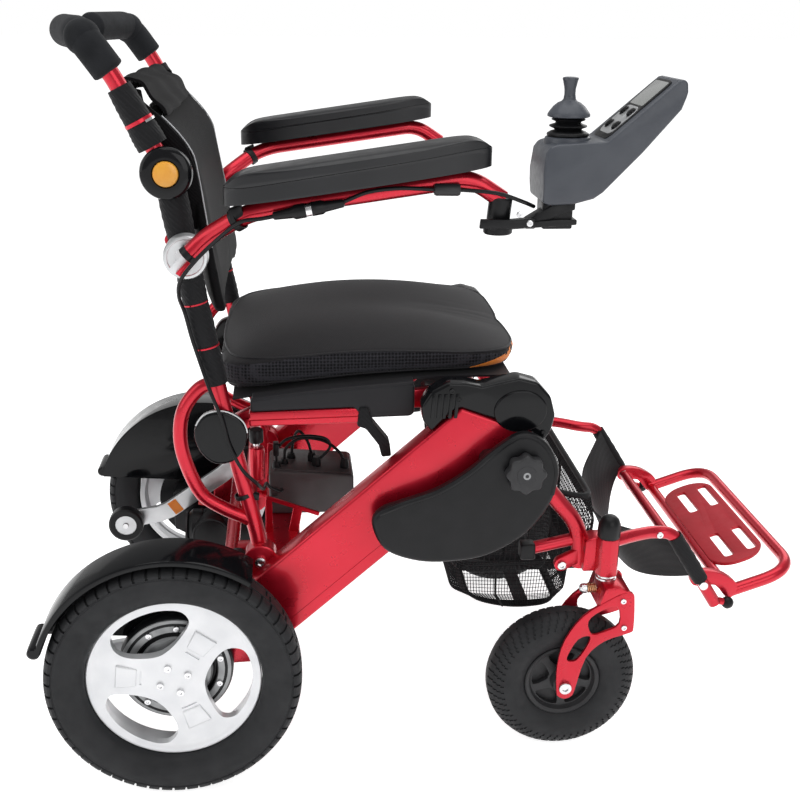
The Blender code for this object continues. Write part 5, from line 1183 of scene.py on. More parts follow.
hand_over(joined(parts), "back_tubes", "back", *RED, ["back_frame"], 30)
hand_over(joined(bright), "back_hardware", "back", *STEEL, (), 34)
hand_over(joined(ties), "upright_ties", "back", "black_cloth", satin_black, (), 34)

DAMPER = (0.105, -0.125)
body = turned(mm((0.1, 350.5), (7.5, 350.5), (10, 353), (10.5, 356), (10.5, 390), (9.8, 396), (8, 398),
    (0.1, 398)), at(*DAMPER, 0), (0, 0, 1), 36)
rod = turned(mm((0.1, 397.8), (4.5, 397.8), (4.5, 416), (0.1, 416)), at(*DAMPER, 0), (0, 0, 1), 24)
head = turned(mm((0.1, 404), (8.5, 404), (9.5, 405.5), (9.5, 420), (8.5, 422), (0.1, 422)),
    at(*DAMPER, 0), (0, 0, 1), 28)
hand_over(body, "damper_body", "back", "shock_red", red_paint, ["seat_damper"], 34)
hand_over(rod, "damper_rod", "back", *STEEL, (), 34)
hand_over(head, "damper_cap", "back", *SATIN, (), 34)
print("back frame placed")

# %% [markdown]
# The seat frame is a pair of rails with a groove along each, and thin bars inside that reach forward
# to the rockers. The groove is what holds the edge of the seat cloth.

# %% Seat frame
parts = []
for side, s in SIDES.items():
    rail = plate(mm((100, 458), (100, 476), (232, 479), (248, 460)), s * 0.1942, s * 0.213, 0.002, 3)
    carve(rail, plate(mm((98, 465.5), (98, 469), (237, 471.2), (240, 468)), s * 0.2112, s * 0.214))
    parts.append(rail)
    bar = mm((62, 446), (66, 461), (79, 464), (110, 479), (240, 490), (326, 496), (342, 492), (344, 478),
        (332, 472), (244, 470), (115, 460), (79, 437), (66, 440))
    parts.append(plate(bar, s * 0.18, s * 0.194, 0.0012))
for x, z in ((0.15, 0.474), (0.3, 0.4815)):
    parts.append(cross_bar(x, z, 0.186, 0.0075, 7))
hand_over(joined(parts), "seat_rails", "seat", *RED, ["seat_frame"], 30)
LOOP_STRAP = mm((233, 456), (236, 480), (247, 480.5), (253, 460), (274, 433), (276, 415), (264, 414),
    (260, 430), (244, 452))
straps = [plate(LOOP_STRAP, s * 0.1915, s * 0.216, 0.0022, 3, 30) for s in SIDES.values()]
hand_over(joined(straps), "rail_straps", "seat", *WEBBING, (), 34)
print("seat frame placed")

# %% [markdown]
# The footrest is a bent tube hoop with arched side brackets and a slotted plate. The plate has round
# corners and rounded slots, and is powder coated, so it is duller than the tubes.

# %% Footrest
FOOT_REAR = (0.748, 0.187)
FOOT_FRONT_X = 0.8405
SLOPE = math.tan(math.radians(18.6))


def foot_height(x):
    return FOOT_REAR[1] + (x - FOOT_REAR[0]) * SLOPE


plate_paint = finish("plate_paint", (0.5, 0.012, 0.024), 0.46, metallic=0.35, coat=0.15)
tint(plate_paint, remap(plate_paint, cloudy(plate_paint, 14.0), 0.0, 1.0), (0.44, 0.01, 0.02),
    (0.54, 0.015, 0.03))
worn(plate_paint, cloudy(plate_paint, 80.0), 0.38, 0.54)
relief(plate_paint, cloudy(plate_paint, 900.0), 0.00015, 0.5)

y = 0.183
hoop = [(FOOT_REAR[0], -y, FOOT_REAR[1]), (FOOT_FRONT_X, -y, foot_height(FOOT_FRONT_X)),
    (FOOT_FRONT_X, y, foot_height(FOOT_FRONT_X)), (FOOT_REAR[0], y, FOOT_REAR[1])]
parts = [swept(bent(hoop, 0.048, 12), 0.0085, 8), cross_bar(0.751, FOOT_REAR[1], y, 0.0077, 7)]
ARCH = mm((-11, 0), (-8, 8), (6, 12), (30, 8), (54, -8), (52, -26), (42, -30), (24, -10), (4, -11),
    (-8, -8))
arch = ring_outline([(FOOT[0] + x, FOOT[1] + z) for x, z in ARCH], 3)
for s in SIDES.values():
    bracket = plate(arch, s * 0.179, s * 0.192, 0.001)
    carve(bracket, drum(FOOT, 0.0063, s * 0.17, s * 0.2))
    parts.append(bracket)
hand_over(joined(parts), "footrest_tubes", "footrest_flap", *RED, ["footrest"], 30)


def round_corners(x, y, half_x, half_y, radius, steps=3):
    """A rectangle with round corners, seen from above."""
    out = []
    for u, v, start in ((1, 1, 0), (-1, 1, 90), (-1, -1, 180), (1, -1, 270)):
        for k in range(steps + 1):
            a = math.radians(start + 90 * k / steps)
            out.append((x + u * (half_x - radius) + radius * math.cos(a),
                y + v * (half_y - radius) + radius * math.sin(a)))
    return out


def plan_plate(corners, height, thickness):
    """An outline seen from above, laid at a height that depends on x and extruded upwards."""
    return pressed([at(x, y, height(x)) for x, y in corners], (0, 0, thickness))


deck = plan_plate(round_corners(0.787, 0, 0.037, 0.132, 0.033, 8), lambda x: foot_height(x) + 0.004,
    0.005)
for x in (0.7766, 0.8092):
    for s in (-1, 1):
        carve(deck, plan_plate(round_corners(x, s * 0.076, 0.0065, 0.035, 0.004), lambda x: 0.15, 0.12))
soften(deck, 0.0012, 3, 40)
hand_over(deck, "foot_plate", "footrest_flap", "red_metal", plate_paint, (), 14)
ends = [side_bolt(FOOT[0], s * 0.1775, FOOT[1], -s, 0.008, 0.003) for s in SIDES.values()]
hand_over(joined(ends), "footrest_bolts", "footrest_flap", *STEEL, (), 34)
print("footrest placed, deck faces", len(deck.data.polygons))

# %% [markdown]
# The seat cushion is a box cushion: a knit top, a mesh border and a base, sewn together at two seams.
# A subdivided block is drawn out to the cushion's plan and crown, and then blown up a little by a
# cloth simulation with its seams held still, which is what stuffing does to a sewn cover.

# %% Helpers for padded pieces
def filled_block(cuts):
    """A cube primitive cut into a fine grid, whose corners run from -1 to 1."""
    deselect()
    bpy.ops.mesh.primitive_cube_add(size=2.0)
    obj = bpy.context.active_object
    edit(obj)
    bpy.ops.mesh.subdivide(number_cuts=cuts)
    leave_edit()
    return obj


VOXEL = 0.005
PRESSURE = 4.0
FRAMES = 20


def stuff(obj, cap, held):
    """Meshes a cover evenly, blows it up with cloth pressure while its seams stay, and refines it."""
    remesh = obj.modifiers.new("Even mesh", "REMESH")
    remesh.mode = "VOXEL"
    remesh.voxel_size = VOXEL
    apply_modifiers(obj)
    seams = obj.vertex_groups.new(name="seams")
    fixed = [v.index for v in obj.data.vertices if held(v.co)]
    seams.add(fixed, 1.0, "REPLACE")
    rest = [v.co.copy() for v in obj.data.vertices]
    cloth = obj.modifiers.new("Filling", "CLOTH")
    cloth.settings.quality = 4
    cloth.settings.use_pressure = True
    cloth.settings.uniform_pressure_force = PRESSURE
    cloth.settings.effector_weights.gravity = 0.0
    cloth.settings.vertex_group_mass = "seams"
    cloth.collision_settings.use_collision = False
    cloth.point_cache.frame_end = FRAMES
    for step in range(1, FRAMES + 1):
        bpy.context.scene.frame_set(step)
    apply_modifiers(obj)
    bpy.context.scene.frame_set(1)
    furthest = 0.0
    for vertex, before in zip(obj.data.vertices, rest):
        move = vertex.co - before
        furthest = max(furthest, move.length)
        if move.length > cap:
            vertex.co = before + move * (cap / move.length)
    print("held", len(fixed), "of", len(rest), "points, furthest move", round(furthest, 4))
    smooth = obj.modifiers.new("Smoothing", "SMOOTH")
    smooth.factor = 0.5
    smooth.iterations = 3
    return refine(obj)


def surface_line(obj, looks, lift):
    """Where a look from each place along its direction first meets a piece, lifted a little."""
    found = []
    for place, way in looks:
        hit, where, normal, _ = obj.ray_cast(place, way)
        if hit:
            found.append(where + normal * lift)
    return found


def laid_cord(points, radius):
    """A thin round cord along world points, closed on itself."""
    line = [(p.x - AXLE_X, p.y, p.z) for p in points]
    return swept(line + line[:1], radius, 2)


def eased(value):
    """A share kept between 0 and 1."""
    return min(1.0, max(0.0, value))


print("padding helpers ready")

# %% Seat cushion
CUSHION_REAR, CUSHION_FRONT, CUSHION_HALF = 0.0625, 0.448, 0.189
CUSHION_LONG = CUSHION_FRONT - CUSHION_REAR
CUSHION_MID = (CUSHION_REAR + CUSHION_FRONT) / 2
FRONT_POWER, REAR_POWER = 5.5, 9.0


def seat_floor(x):
    ahead = x - 0.07
    return 0.4915 + 0.1619 * ahead - 0.2602 * ahead * ahead


def rounded_plan(a, b, power):
    """Moves a square grid point to a plan with round corners."""
    share = max(abs(a), abs(b))
    if share < 1e-6:
        return 0.0, 0.0, 0.0
    u, v = a / share, b / share
    pull = share * (abs(u) ** power + abs(v) ** power) ** (-1 / power)
    return u * pull, v * pull, share


def side_height(x):
    """The border is tall at the rear and drops away under the thighs."""
    t = eased(((x - CUSHION_REAR) / CUSHION_LONG - 0.35) / 0.65)
    return 0.0345 - 0.015 * t * t * (3 - 2 * t)


def drawn(level):
    """How far the border is drawn in at each height, from the base to the top seam."""
    return 0.958 + 0.037 * min(1.0, level * 2.2) ** 0.7 - 0.004 * math.sin(math.pi * level)


cushion = filled_block(37)
for vertex in cushion.data.vertices:
    a, b, c = vertex.co
    level = (c + 1) / 2
    u, v, _ = rounded_plan(a, b, FRONT_POWER if a > 0 else REAR_POWER)
    draw = drawn(level)
    x = CUSHION_REAR + CUSHION_LONG * (0.5 + 0.5 * u * draw)
    y = CUSHION_HALF * v * draw
    z = seat_floor(x) + side_height(x) * level
    if level > 0.999:
        rise = (1 - abs(u) ** (2.6 if u > 0 else 4.0)) * (1 - abs(v) ** 4.0)
        valley = 0.0085 * math.exp(-((v + 0.06) / 0.24) ** 2) * max(0.0, u + 0.45) ** 1.1
        lobes = 0.0035 * math.exp(-((abs(v) - 0.55) / 0.25) ** 2) * max(0.0, u + 0.2)
        z += 0.0205 * rise + (lobes - valley) * (1 - abs(u) ** 6)
    vertex.co = at(x, y, z)


def cushion_place(co):
    """How near a point is to the plan's edge, its height, and the border's height there."""
    x = co.x - AXLE_X
    u = (x - CUSHION_MID) / (CUSHION_LONG / 2)
    v = co.y / CUSHION_HALF
    power = FRONT_POWER if u > 0 else REAR_POWER
    edge = (abs(u) ** power + abs(v) ** power) ** (1 / power)
    return edge, co.z - seat_floor(x), side_height(x)


def cushion_seam(co):
    """Whether a point is held by a seam or by the base."""
    edge, height, side = cushion_place(co)
    top = edge > 0.965 and abs(height - side) < 0.0045
    base = edge < 0.93 and height < 0.003
    bottom = edge > 0.93 and abs(height) < 0.0035
    return top or base or bottom


cushion = stuff(cushion, 0.0065, cushion_seam)
cushion.data.materials.append(cushion_knit)
cushion.data.materials.append(border_mesh)
for face in cushion.data.polygons:
    edge, height, side = cushion_place(face.center)
    face.material_index = 1 if edge > 0.93 and height < side - 0.0015 else 0
hand_over(cushion, "cushion_cover", "seat", "black_cloth", None, ["seat_cushion"], 60)
print("cushion faces", len(cushion.data.polygons))

# %% Cushion seams and tag
SEAM_STEPS = 160


def ring_looks(height):
    """Looks from all round towards the cushion, at a share of its border's height."""
    looks = []
    for k in range(SEAM_STEPS):
        a = math.tau * k / SEAM_STEPS
        inner = CUSHION_MID + 0.19 * math.cos(a)
        spot = at(CUSHION_MID + 0.3 * math.cos(a), 0.3 * math.sin(a),
            seat_floor(inner) + height * side_height(inner))
        looks.append((spot, Vector((-math.cos(a), -math.sin(a), 0))))
    return looks


seams = [surface_line(cushion, ring_looks(height), 0.0002) for height in (0.985, 0.09)]
piping = [laid_cord(line, 0.0014) for line in seams]
hand_over(joined(piping), "cushion_piping", "seat", *COATED, (), 60)

grid_rows = []
for along in range(9):
    t = along / 8
    row = []
    for up in range(5):
        w = up / 4
        if t < 0.8:
            x, y = 0.378 + 0.07 * t / 0.8, -0.3
            way = Vector((0, 1, 0))
        else:
            x, y = 0.5, -0.17 + 0.05 * (t - 0.8) / 0.2
            way = Vector((-1, 0, 0))
        tall = 0.017 * min(1.0, t / 0.75)
        spot = at(x, y, seat_floor(min(x, 0.44)) + 0.0025 + tall * w)
        hit, where, normal, _ = cushion.ray_cast(spot, way)
        row.append(where + normal * 0.0006 if hit else None)
    if all(row):
        grid_rows.append(row)
tag = grid_of(4, len(grid_rows) - 1, 0.05)
for vertex, place in zip(tag.data.vertices, [p for row in grid_rows for p in row]):
    vertex.co = place
edit(tag)
turn_outwards(tag)
thicken(tag, 0.0006)
hand_over(tag, "cushion_tag", "seat", "button_orange", signal_orange, (), 60)
print("seam points", len(seams[0]), "tag rows", len(grid_rows))

# %% [markdown]
# Under the cushion a sling of coated nylon is stretched over the seat frame, and its edges hang as
# skirts over the rails. Cloth under tension is nearly flat, so it is laid out as a fine grid with a
# slight sag and given its thickness.

# %% Seat sling
sling = grid_of(36, 36)
for vertex in sling.data.vertices:
    a, b, _ = vertex.co
    x = 0.08 + 0.349 * (a + 1) / 2
    vertex.co = at(x, 0.1918 * b, seat_floor(x) - 0.0055 - 0.0012 * (1 - b * b) * (1 - a ** 4))


thicken(sling, 0.0026)
hand_over(sling, "seat_cloth", "seat", *COATED, ["seat_sling"], 40)
skirts = []
SKIRT = mm((102, 476.6), (228.5, 479.6), (235, 469), (244, 465.5), (300, 466.5), (305, 471), (305, 508),
    (260, 507.8), (220, 504.2), (150, 498.5), (102, 492.5))
SKIRT_FOLD = mm((104, 488), (200, 498), (304, 503.5), (304, 512), (200, 504.5), (104, 494.5))
for s in SIDES.values():
    skirts.append(plate(SKIRT, s * 0.1948, s * 0.2126, 0.005, 5, 30))
    skirts.append(plate(SKIRT_FOLD, s * 0.1885, s * 0.2115, 0.002, 3, 30))
skirts = joined(skirts)
hand_over(skirts, "seat_skirts", "seat", *COATED, (), 40)
print("sling faces", len(sling.data.polygons))

# %% [markdown]
# The backrest is a padded shell between the uprights. It is hollowed for the back, leans away at
# the top, and ends in a soft flap that is folded over to the rear. It is stuffed the same way as the
# cushion, with its rim held.

# %% Backrest
UPHOLSTERY_LOW, UPHOLSTERY_TOP = 0.593, 0.8375


def upright_line(z):
    """x of the upright tube at a height."""
    low, high = (SEAT, UPRIGHT_BEND) if z < UPRIGHT_BEND[1] else (UPRIGHT_BEND, HUB)
    return low[0] + (high[0] - low[0]) * (z - low[1]) / (high[1] - low[1])


def back_face(v, z):
    """x of the front face of the backrest at share v across and height z."""
    lean = 0.0375 * max(0.0, (z - 0.78) / 0.06) ** 1.6
    return upright_line(z) + 0.035 - lean - 0.01 * (1 - v * v)


def back_half(z, widest):
    """Half the backrest's width, which narrows above the arm discs."""
    return widest - 0.014 * eased((z - 0.7) / 0.05)


back_pad = filled_block(27)
for vertex in back_pad.data.vertices:
    a, b, c = vertex.co
    v, w, _ = rounded_plan(a, b, 12.0)
    z = UPHOLSTERY_LOW + (UPHOLSTERY_TOP - UPHOLSTERY_LOW) * (w + 1) / 2
    depth = 0.02 * (0.55 + 0.45 * (1 - max(abs(v), abs(w)) ** 8))
    x = back_face(v, z) - 0.0015 - (1 - c) / 2 * depth
    vertex.co = at(x, v * back_half(z, 0.203), z)


def back_rim(co):
    """Whether a point is on the backrest's sewn rim."""
    v = co.y / 0.2
    return abs(v) > 0.93 or co.z < UPHOLSTERY_LOW + 0.008 or co.z > UPHOLSTERY_TOP - 0.008


back_pad = stuff(back_pad, 0.004, back_rim)
hand_over(back_pad, "backrest_cover", "back", *BACKING, ["back_upholstery"], 60)
print("backrest faces", len(back_pad.data.polygons))

# %% Backrest flap and piping highlight
flap = filled_block(21)
FLAP_LINE = mm((14, 828), (10, 840), (2, 850), (-8, 859), (-15, 867), (-22, 871), (-30, 866), (-33, 856))
line = flowing([(x, 0, z) for x, z in FLAP_LINE], 8)
for vertex in flap.data.vertices:
    a, b, c = vertex.co
    t = (a + 1) / 2 * (len(line) - 1)
    k = min(int(t), len(line) - 2)
    spot = line[k].lerp(line[k + 1], t - k)
    along = (line[k + 1] - line[k]).normalized()
    across = Vector((-along.z, 0, along.x))
    swell = 0.0042 * (1 - abs(b) ** 6 * 0.5) + 0.0016 * math.sin(9 * b + 2 * a) * (1 - abs(b) ** 4)
    ripple = 0.0026 * math.sin(7.5 * a + 1.2 * b) + 0.001 * math.sin(8.0 * b) * (a + 1) / 2
    place = spot + across * (c * swell + ripple)
    droop = 0.01 * (b + 1) / 2 * (a + 1) / 2
    vertex.co = at(place.x, 0.178 * b * (1 - 0.03 * (a + 1)), place.z - droop)
refine(flap)
hand_over(flap, "backrest_flap", "back", *BACKING, (), 60)

wings = []
for s in SIDES.values():
    heights = (0.7, 0.735, 0.77, 0.8, 0.83, 0.846)
    rear = [(upright_line(z) + 0.006 if z < 0.771 else HUB[0] + 0.008 - 0.519 * (z - HUB[1]), z)
        for z in heights]
    front = [(back_face(1.0, z) - 0.0035, z) for z in reversed(heights)]
    wings.append(plate(rear + [(-0.023, 0.862), (-0.009, 0.859)] + front, s * 0.188, s * 0.1925, 0.0012,
        2, 30))
wings = joined(wings)
hand_over(wings, "backrest_wings", "back", *BACKING, (), 30)

# A thin near-white cord along each side edge is a painted highlight: it stands for light caught on the
# backrest's dark piping.
edges = []
for s in SIDES.values():
    points = []
    for k in range(24):
        z = 0.68 + 0.15 * k / 23
        points.append((back_face(1.0, z) - 0.0026, s * (back_half(z, 0.2045) - 0.003), z))
    edges.append(swept(points, 0.0008, 2))
hand_over(joined(edges), "backrest_piping_highlight", "back", "black_cloth", highlight_cord_white, (), 60)
print("flap faces", len(flap.data.polygons))

# %% [markdown]
# Sleeves of woven nylon hold the backrest to the uprights, below and above each hub. They are short
# spun sleeves, a little fuller at the middle, ended by thin red rings.

# %% Sleeves on the uprights
def sleeve(start, end, first, middle, last, wall=0.0012, steps=40):
    """A soft tube from one point to another with its own radius at the start, middle and end."""
    start, end = Vector(start), Vector(end)
    axis = end - start
    length = axis.length
    outside, inside = [], []
    for k in range(11):
        t = k / 10
        r = (1 - t) ** 2 * first + 2 * t * (1 - t) * middle + t * t * last
        ripple = 0.00035 * math.sin(9.0 * t * math.pi)
        outside.append((r + ripple, length * t))
        inside.append((r - wall, length * t))
    return turned(outside + inside[::-1], at(*start), axis, steps)


KNEE = (-0.038, 0.876)
ELBOW = (-0.069, 0.92)
HANDLE_Y = 0.207
SLEEVES = ((0.513, 0.56, 0.0135, 0.0152, 0.014), (0.561, 0.614, 0.0142, 0.0162, 0.0146),
    (0.615, 0.656, 0.0148, 0.0164, 0.015), (0.692, 0.748, 0.016, 0.0182, 0.017))


def between(a, b, t):
    return tuple(p + (q - p) * t for p, q in zip(a, b))


for side, s in SIDES.items():
    y = s * FRAME_Y
    sleeves = [sleeve((upright_line(z0), y, z0), (upright_line(z1), y, z1), first, middle, last)
        for z0, z1, first, middle, last in SLEEVES]
    hand_over(joined(sleeves), f"upright_sleeve_{side}", "back", *WEBBING, (), 50)
    rings = [turned(mm((14, -1.2), (15.3, -0.9), (15.3, 0.9), (14, 1.2)), at(upright_line(z), y, z),
        (-0.2, 0, 0.98), 36) for z in (0.5605, 0.6145)]
    hand_over(joined(rings), f"upright_rings_{side}", "back", *RED, (), 40)

    body = f"push_handle_{side}"
    hub, knee = (HUB[0], s * HANDLE_Y, HUB[1]), (KNEE[0], s * HANDLE_Y, KNEE[1])
    a, b, c, d = (between(hub, knee, t) for t in (0.27, 0.52, 0.53, 0.88))
    tops = [sleeve(a, b, 0.0178, 0.0186, 0.016), sleeve(c, d, 0.0162, 0.016, 0.014)]
    hand_over(joined(tops), f"handle_sleeve_{side}", body, *WEBBING, (), 50)
    axis = Vector(knee) - Vector(hub)
    ring = turned(mm((15, -2.6), (17.2, -2), (17.2, 2), (15, 2.6)), at(*between(hub, knee, 0.525)), axis,
        36)
    hand_over(ring, f"handle_ring_{side}", body, *RED, (), 40)
    middle = at(*between(hub, knee, 0.5))
    buckle = turned(mm((15, -1.8), (18.6, -1.4), (18.6, 1.4), (15, 1.8)), middle, axis, 36)
    pick(buckle, lambda face: face.center.x < middle.x + 0.0085)
    bpy.ops.mesh.delete(type="FACE")
    leave_edit()
    thicken(buckle, 0.0006, -1)
    hand_over(buckle, f"handle_buckle_{side}", body, *STEEL, (), 40)
print("sleeves placed")

# %% [markdown]
# Behind the rider's calves hangs a band of webbing, and under the seat a bag of see-through net with
# bound edges. The band is a grid that hangs back in the middle. The net is made from the bag's shell
# by keeping only the edges of its small cells, so that the light passes as it does through real net.

# %% Calf strap
band = grid_of(48, 12)
for vertex in band.data.vertices:
    across, t = vertex.co.x, (vertex.co.y + 1) / 2
    sag = 1 - abs(across) ** 2.2
    drape = 0.002 * math.sin(9.0 * across + 3.0 * t)
    x = (0.659 - 0.062 * sag) * (1 - t) + (0.7 - 0.062 * sag) * t + drape
    z = (0.285 - 0.043 * sag) * (1 - t) + (0.22 - 0.056 * sag) * t
    vertex.co = at(x, 0.1911 * across, z)
thicken(band, 0.0024)
hand_over(band, "calf_band", "front", *STRAP, ["calf_strap"], 60)
tunnels = []
for s in SIDES.values():
    leg = Vector((0.069, 0, -0.1085)).normalized()
    top = Vector((0.658, s * HANGER_Y, 0.2838))
    tunnels.append(sleeve(top, top + leg * 0.079, 0.01, 0.0112, 0.0102, 0.001, 32))
    tunnels.append(plate(mm((659, 286.8), (700, 222.4), (696.8, 220), (655, 284.8)), s * 0.1905,
        s * 0.199, 0.0008))
hand_over(joined(tunnels), "calf_band_tunnels", "front", *STRAP, (), 50)
print("band faces", len(band.data.polygons))

# %% Under-seat bag
BAG_LEVELS = [(0.404, 0.534, 0.074, 0.118), (0.376, 0.55, 0.08, 0.14), (0.368, 0.554, 0.086, 0.196),
    (0.368, 0.554, 0.178, 0.228), (0.364, 0.556, 0.1934, 0.3), (0.356, 0.548, 0.1934, 0.388)]


NET_PITCH = 0.0065
NET_WIRE = 0.0015


def bag_ring(t, inset):
    """The bag's plan at share t of its height, with round corners."""
    levels = len(BAG_LEVELS) - 1
    k = min(int(t * levels), levels - 1)
    f = t * levels - k
    rear, front, half, z = (p + (q - p) * f for p, q in zip(BAG_LEVELS[k], BAG_LEVELS[k + 1]))
    rear, front, half = rear + inset, front - inset, half - inset
    cut = 0.022
    plan = []
    for cx, cy, start in ((front - cut, half - cut, 0), (rear + cut, half - cut, 90),
            (rear + cut, -half + cut, 180), (front - cut, -half + cut, 270)):
        plan += [on_circle((cx, cy), cut, start + a) for a in (0, 22.5, 45, 67.5, 90)]
    around_plan = []
    for (x0, y0), (x1, y1) in zip(plan, plan[1:] + plan[:1]):
        span = math.hypot(x1 - x0, y1 - y0)
        pieces = max(1, round(span / NET_PITCH))
        around_plan += [(x0 + (x1 - x0) * j / pieces, y0 + (y1 - y0) * j / pieces) for j in range(pieces)]
    ring = []
    for x, y in around_plan:
        share = (x - rear) / (front - rear)
        fall = 0.048 * share * max(0.0, (z - 0.3) / 0.088)
        slump = 0.011 * math.sin(math.pi * eased(share)) - 0.013 * (1 - share)
        ring.append((x, y, z - fall - max(0.0, 1 - t / 0.4) * slump))
    return ring


def even_ring(t, count, inset):
    """The same plan with a fixed number of evenly spaced points."""
    ring = bag_ring(t, inset)
    lengths = [0.0]
    for p, q in zip(ring, ring[1:] + ring[:1]):
        lengths.append(lengths[-1] + (Vector(q) - Vector(p)).length)
    out = []
    j = 0
    for k in range(count):
        goal = lengths[-1] * k / count
        while lengths[j + 1] < goal:
            j += 1
        f = (goal - lengths[j]) / max(1e-9, lengths[j + 1] - lengths[j])
        out.append(Vector(ring[j]).lerp(Vector(ring[(j + 1) % len(ring)]), f))
    return out


def shell(t0, t1, count, rows, inset):
    """A grid primitive wrapped round the bag's plan between two shares of its height."""
    obj = grid_of(count, rows, 1.0)
    levels = [even_ring(t0 + (t1 - t0) * r / rows, count, inset) for r in range(rows + 1)]
    for index, vertex in enumerate(obj.data.vertices):
        r, k = divmod(index, count + 1)
        vertex.co = at(*levels[r][k % count])
    edit(obj)
    bpy.ops.mesh.remove_doubles(threshold=1e-6)
    return turn_outwards(obj)


net = shell(0.02, 0.97, 150, 44, NET_WIRE)
mesh_wire = net.modifiers.new("Net", "WIREFRAME")
mesh_wire.thickness = NET_WIRE
mesh_wire.use_even_offset = False
mesh_wire.use_boundary = True
apply_modifiers(net)
hand_over(net, "bag_net", "front", "bag_net", net_cord, ["under_seat_bag"], 0)

bindings = []
for t, radius in ((0.985, 0.004), (0.63, 0.0016), (0.02, 0.0026)):
    loop = even_ring(t, 120, NET_WIRE + radius * 0.5)
    bindings.append(swept([*loop, loop[0]], radius, 4))
for corner in (0.125, 0.375, 0.625, 0.875):
    seam = [even_ring(k / 20 * 0.97, 120, NET_WIRE)[int(corner * 120)] for k in range(21)]
    bindings.append(swept(seam, 0.0018, 3))
hand_over(joined(bindings), "bag_binding", "front", *STRAP, (), 50)

base = shell(0.0, 0.1, 96, 4, 0.0028)
pick(base, lambda face: False)
bpy.ops.mesh.select_mode(type="EDGE")
leave_edit()
low_z = min(v.co.z for v in base.data.vertices)
for edge in base.data.edges:
    ends = [base.data.vertices[i].co.z for i in edge.vertices]
    edge.select = max(ends) < low_z + 0.0005
bpy.ops.object.mode_set(mode="EDIT")
bpy.ops.mesh.edge_face_add()
leave_edit()
thicken(base, 0.0012)
hand_over(base, "bag_base", "front", *COATED, (), 50)
print("net faces", len(net.data.polygons))

# %% [markdown]
# The push handles rise from black hubs with an orange release button. The tube runs up, bends
# inward, and is sleeved in foam. Foam has no sharp edge anywhere, so its ends are closed round.

# %% Push handles
FOAM_R = 0.0187
FOAM_END = ((1, 0), (0.96, 0.4), (0.84, 0.72), (0.62, 0.92), (0.3, 1))


def round_end(place, axis, length):
    """A rounded cap for a foam sleeve."""
    dome = [(FOAM_R * wide, length * high) for wide, high in FOAM_END]
    profile = [(0.0001, -0.001), (FOAM_R, -0.001), *dome, (0.0001, length)]
    return turned(profile, at(*place), axis, 44)


def foam_tube(points):
    """A swept foam sleeve with round ends."""
    start, end = points[0], points[-1]
    first = (points[1] - start).normalized()
    last = (end - points[-2]).normalized()
    foot, top = start + first * 0.004, end - last * 0.006
    body = swept([foot] + points[1:-1] + [top], FOAM_R, 10)
    return body, [round_end(foot, -first, 0.004), round_end(top, last, 0.006)]


for side, s in SIDES.items():
    body = f"push_handle_{side}"
    hub, knee, elbow = (Vector((x, s * HANDLE_Y, z)) for x, z in (HUB, KNEE, ELBOW))
    end = elbow + Vector((-0.033, -s * 0.105, 0))
    rise = (knee - hub).normalized()
    tube = swept(bent([hub + rise * 0.022, knee, knee.lerp(elbow, 0.5)], 0.02, 6), 0.0105, 8)
    hand_over(tube, f"handle_tube_{side}", body, *RED, [f"handle_{side}"], 34)
    start = knee.lerp(elbow, 0.06)
    ahead = (end - elbow).normalized()
    path = bent([start, elbow, end + ahead * 0.01], 0.03, 14)
    foam, caps = foam_tube(path)
    corner = path[len(path) // 2] + (elbow - knee).normalized() * 0.0012
    turn = [math.pi * k / 16 - math.pi / 2 for k in range(17)]
    ball = turned([(max(0.0001, 0.0204 * math.cos(a)), 0.0204 * math.sin(a)) for a in turn], at(*corner),
        (0, 0, 1), 44)
    hand_over(joined([foam, ball, *caps]), f"foam_grip_{side}", body, "foam_grip", foam_skin,
        [f"grip_{side}"], 60)

    disc = turned_out(mm((14.9, 222), (14.9, 231.2), (16, 232.2), (20, 232.2), (26, 231.2), (29, 229),
        (30, 226.2), (30, 219), (28.5, 216.2), (0.1, 216.2), (0.1, 222)), HUB, s, 72)
    hand_over(disc, f"hub_housing_{side}", body, *GLOSS, (), 34)
    cap = turned_out(mm((0.1, 226.2), (14, 226.2), (14.4, 226.8), (14.4, 233.5), (13.6, 235.2),
        (11, 236.4), (6, 237), (0.1, 237.1)), HUB, s, 56)
    hand_over(cap, f"release_button_{side}", f"release_{side}", "button_orange", button_orange,
        [f"handle_button_{side}"], 34)
print("handles placed")

# %% [markdown]
# Each armrest swings up on a plated disc. Its tube leaves the disc through a thicker socket, bends
# forward under the pad and drops into a black clamp socket at the front.

# %% Armrest tubes
PAD_REAR, PAD_FRONT = (0.083, 0.743), (0.379, 0.7856)
PAD_LONG = PAD_FRONT[0] - PAD_REAR[0]
PAD_MID = (PAD_REAR[0] + PAD_FRONT[0]) / 2
PAD_SLOPE = (PAD_FRONT[1] - PAD_REAR[1]) / PAD_LONG
ARM_Y = 0.279


def under_pad(x):
    return PAD_REAR[1] + (x - PAD_REAR[0]) * PAD_SLOPE


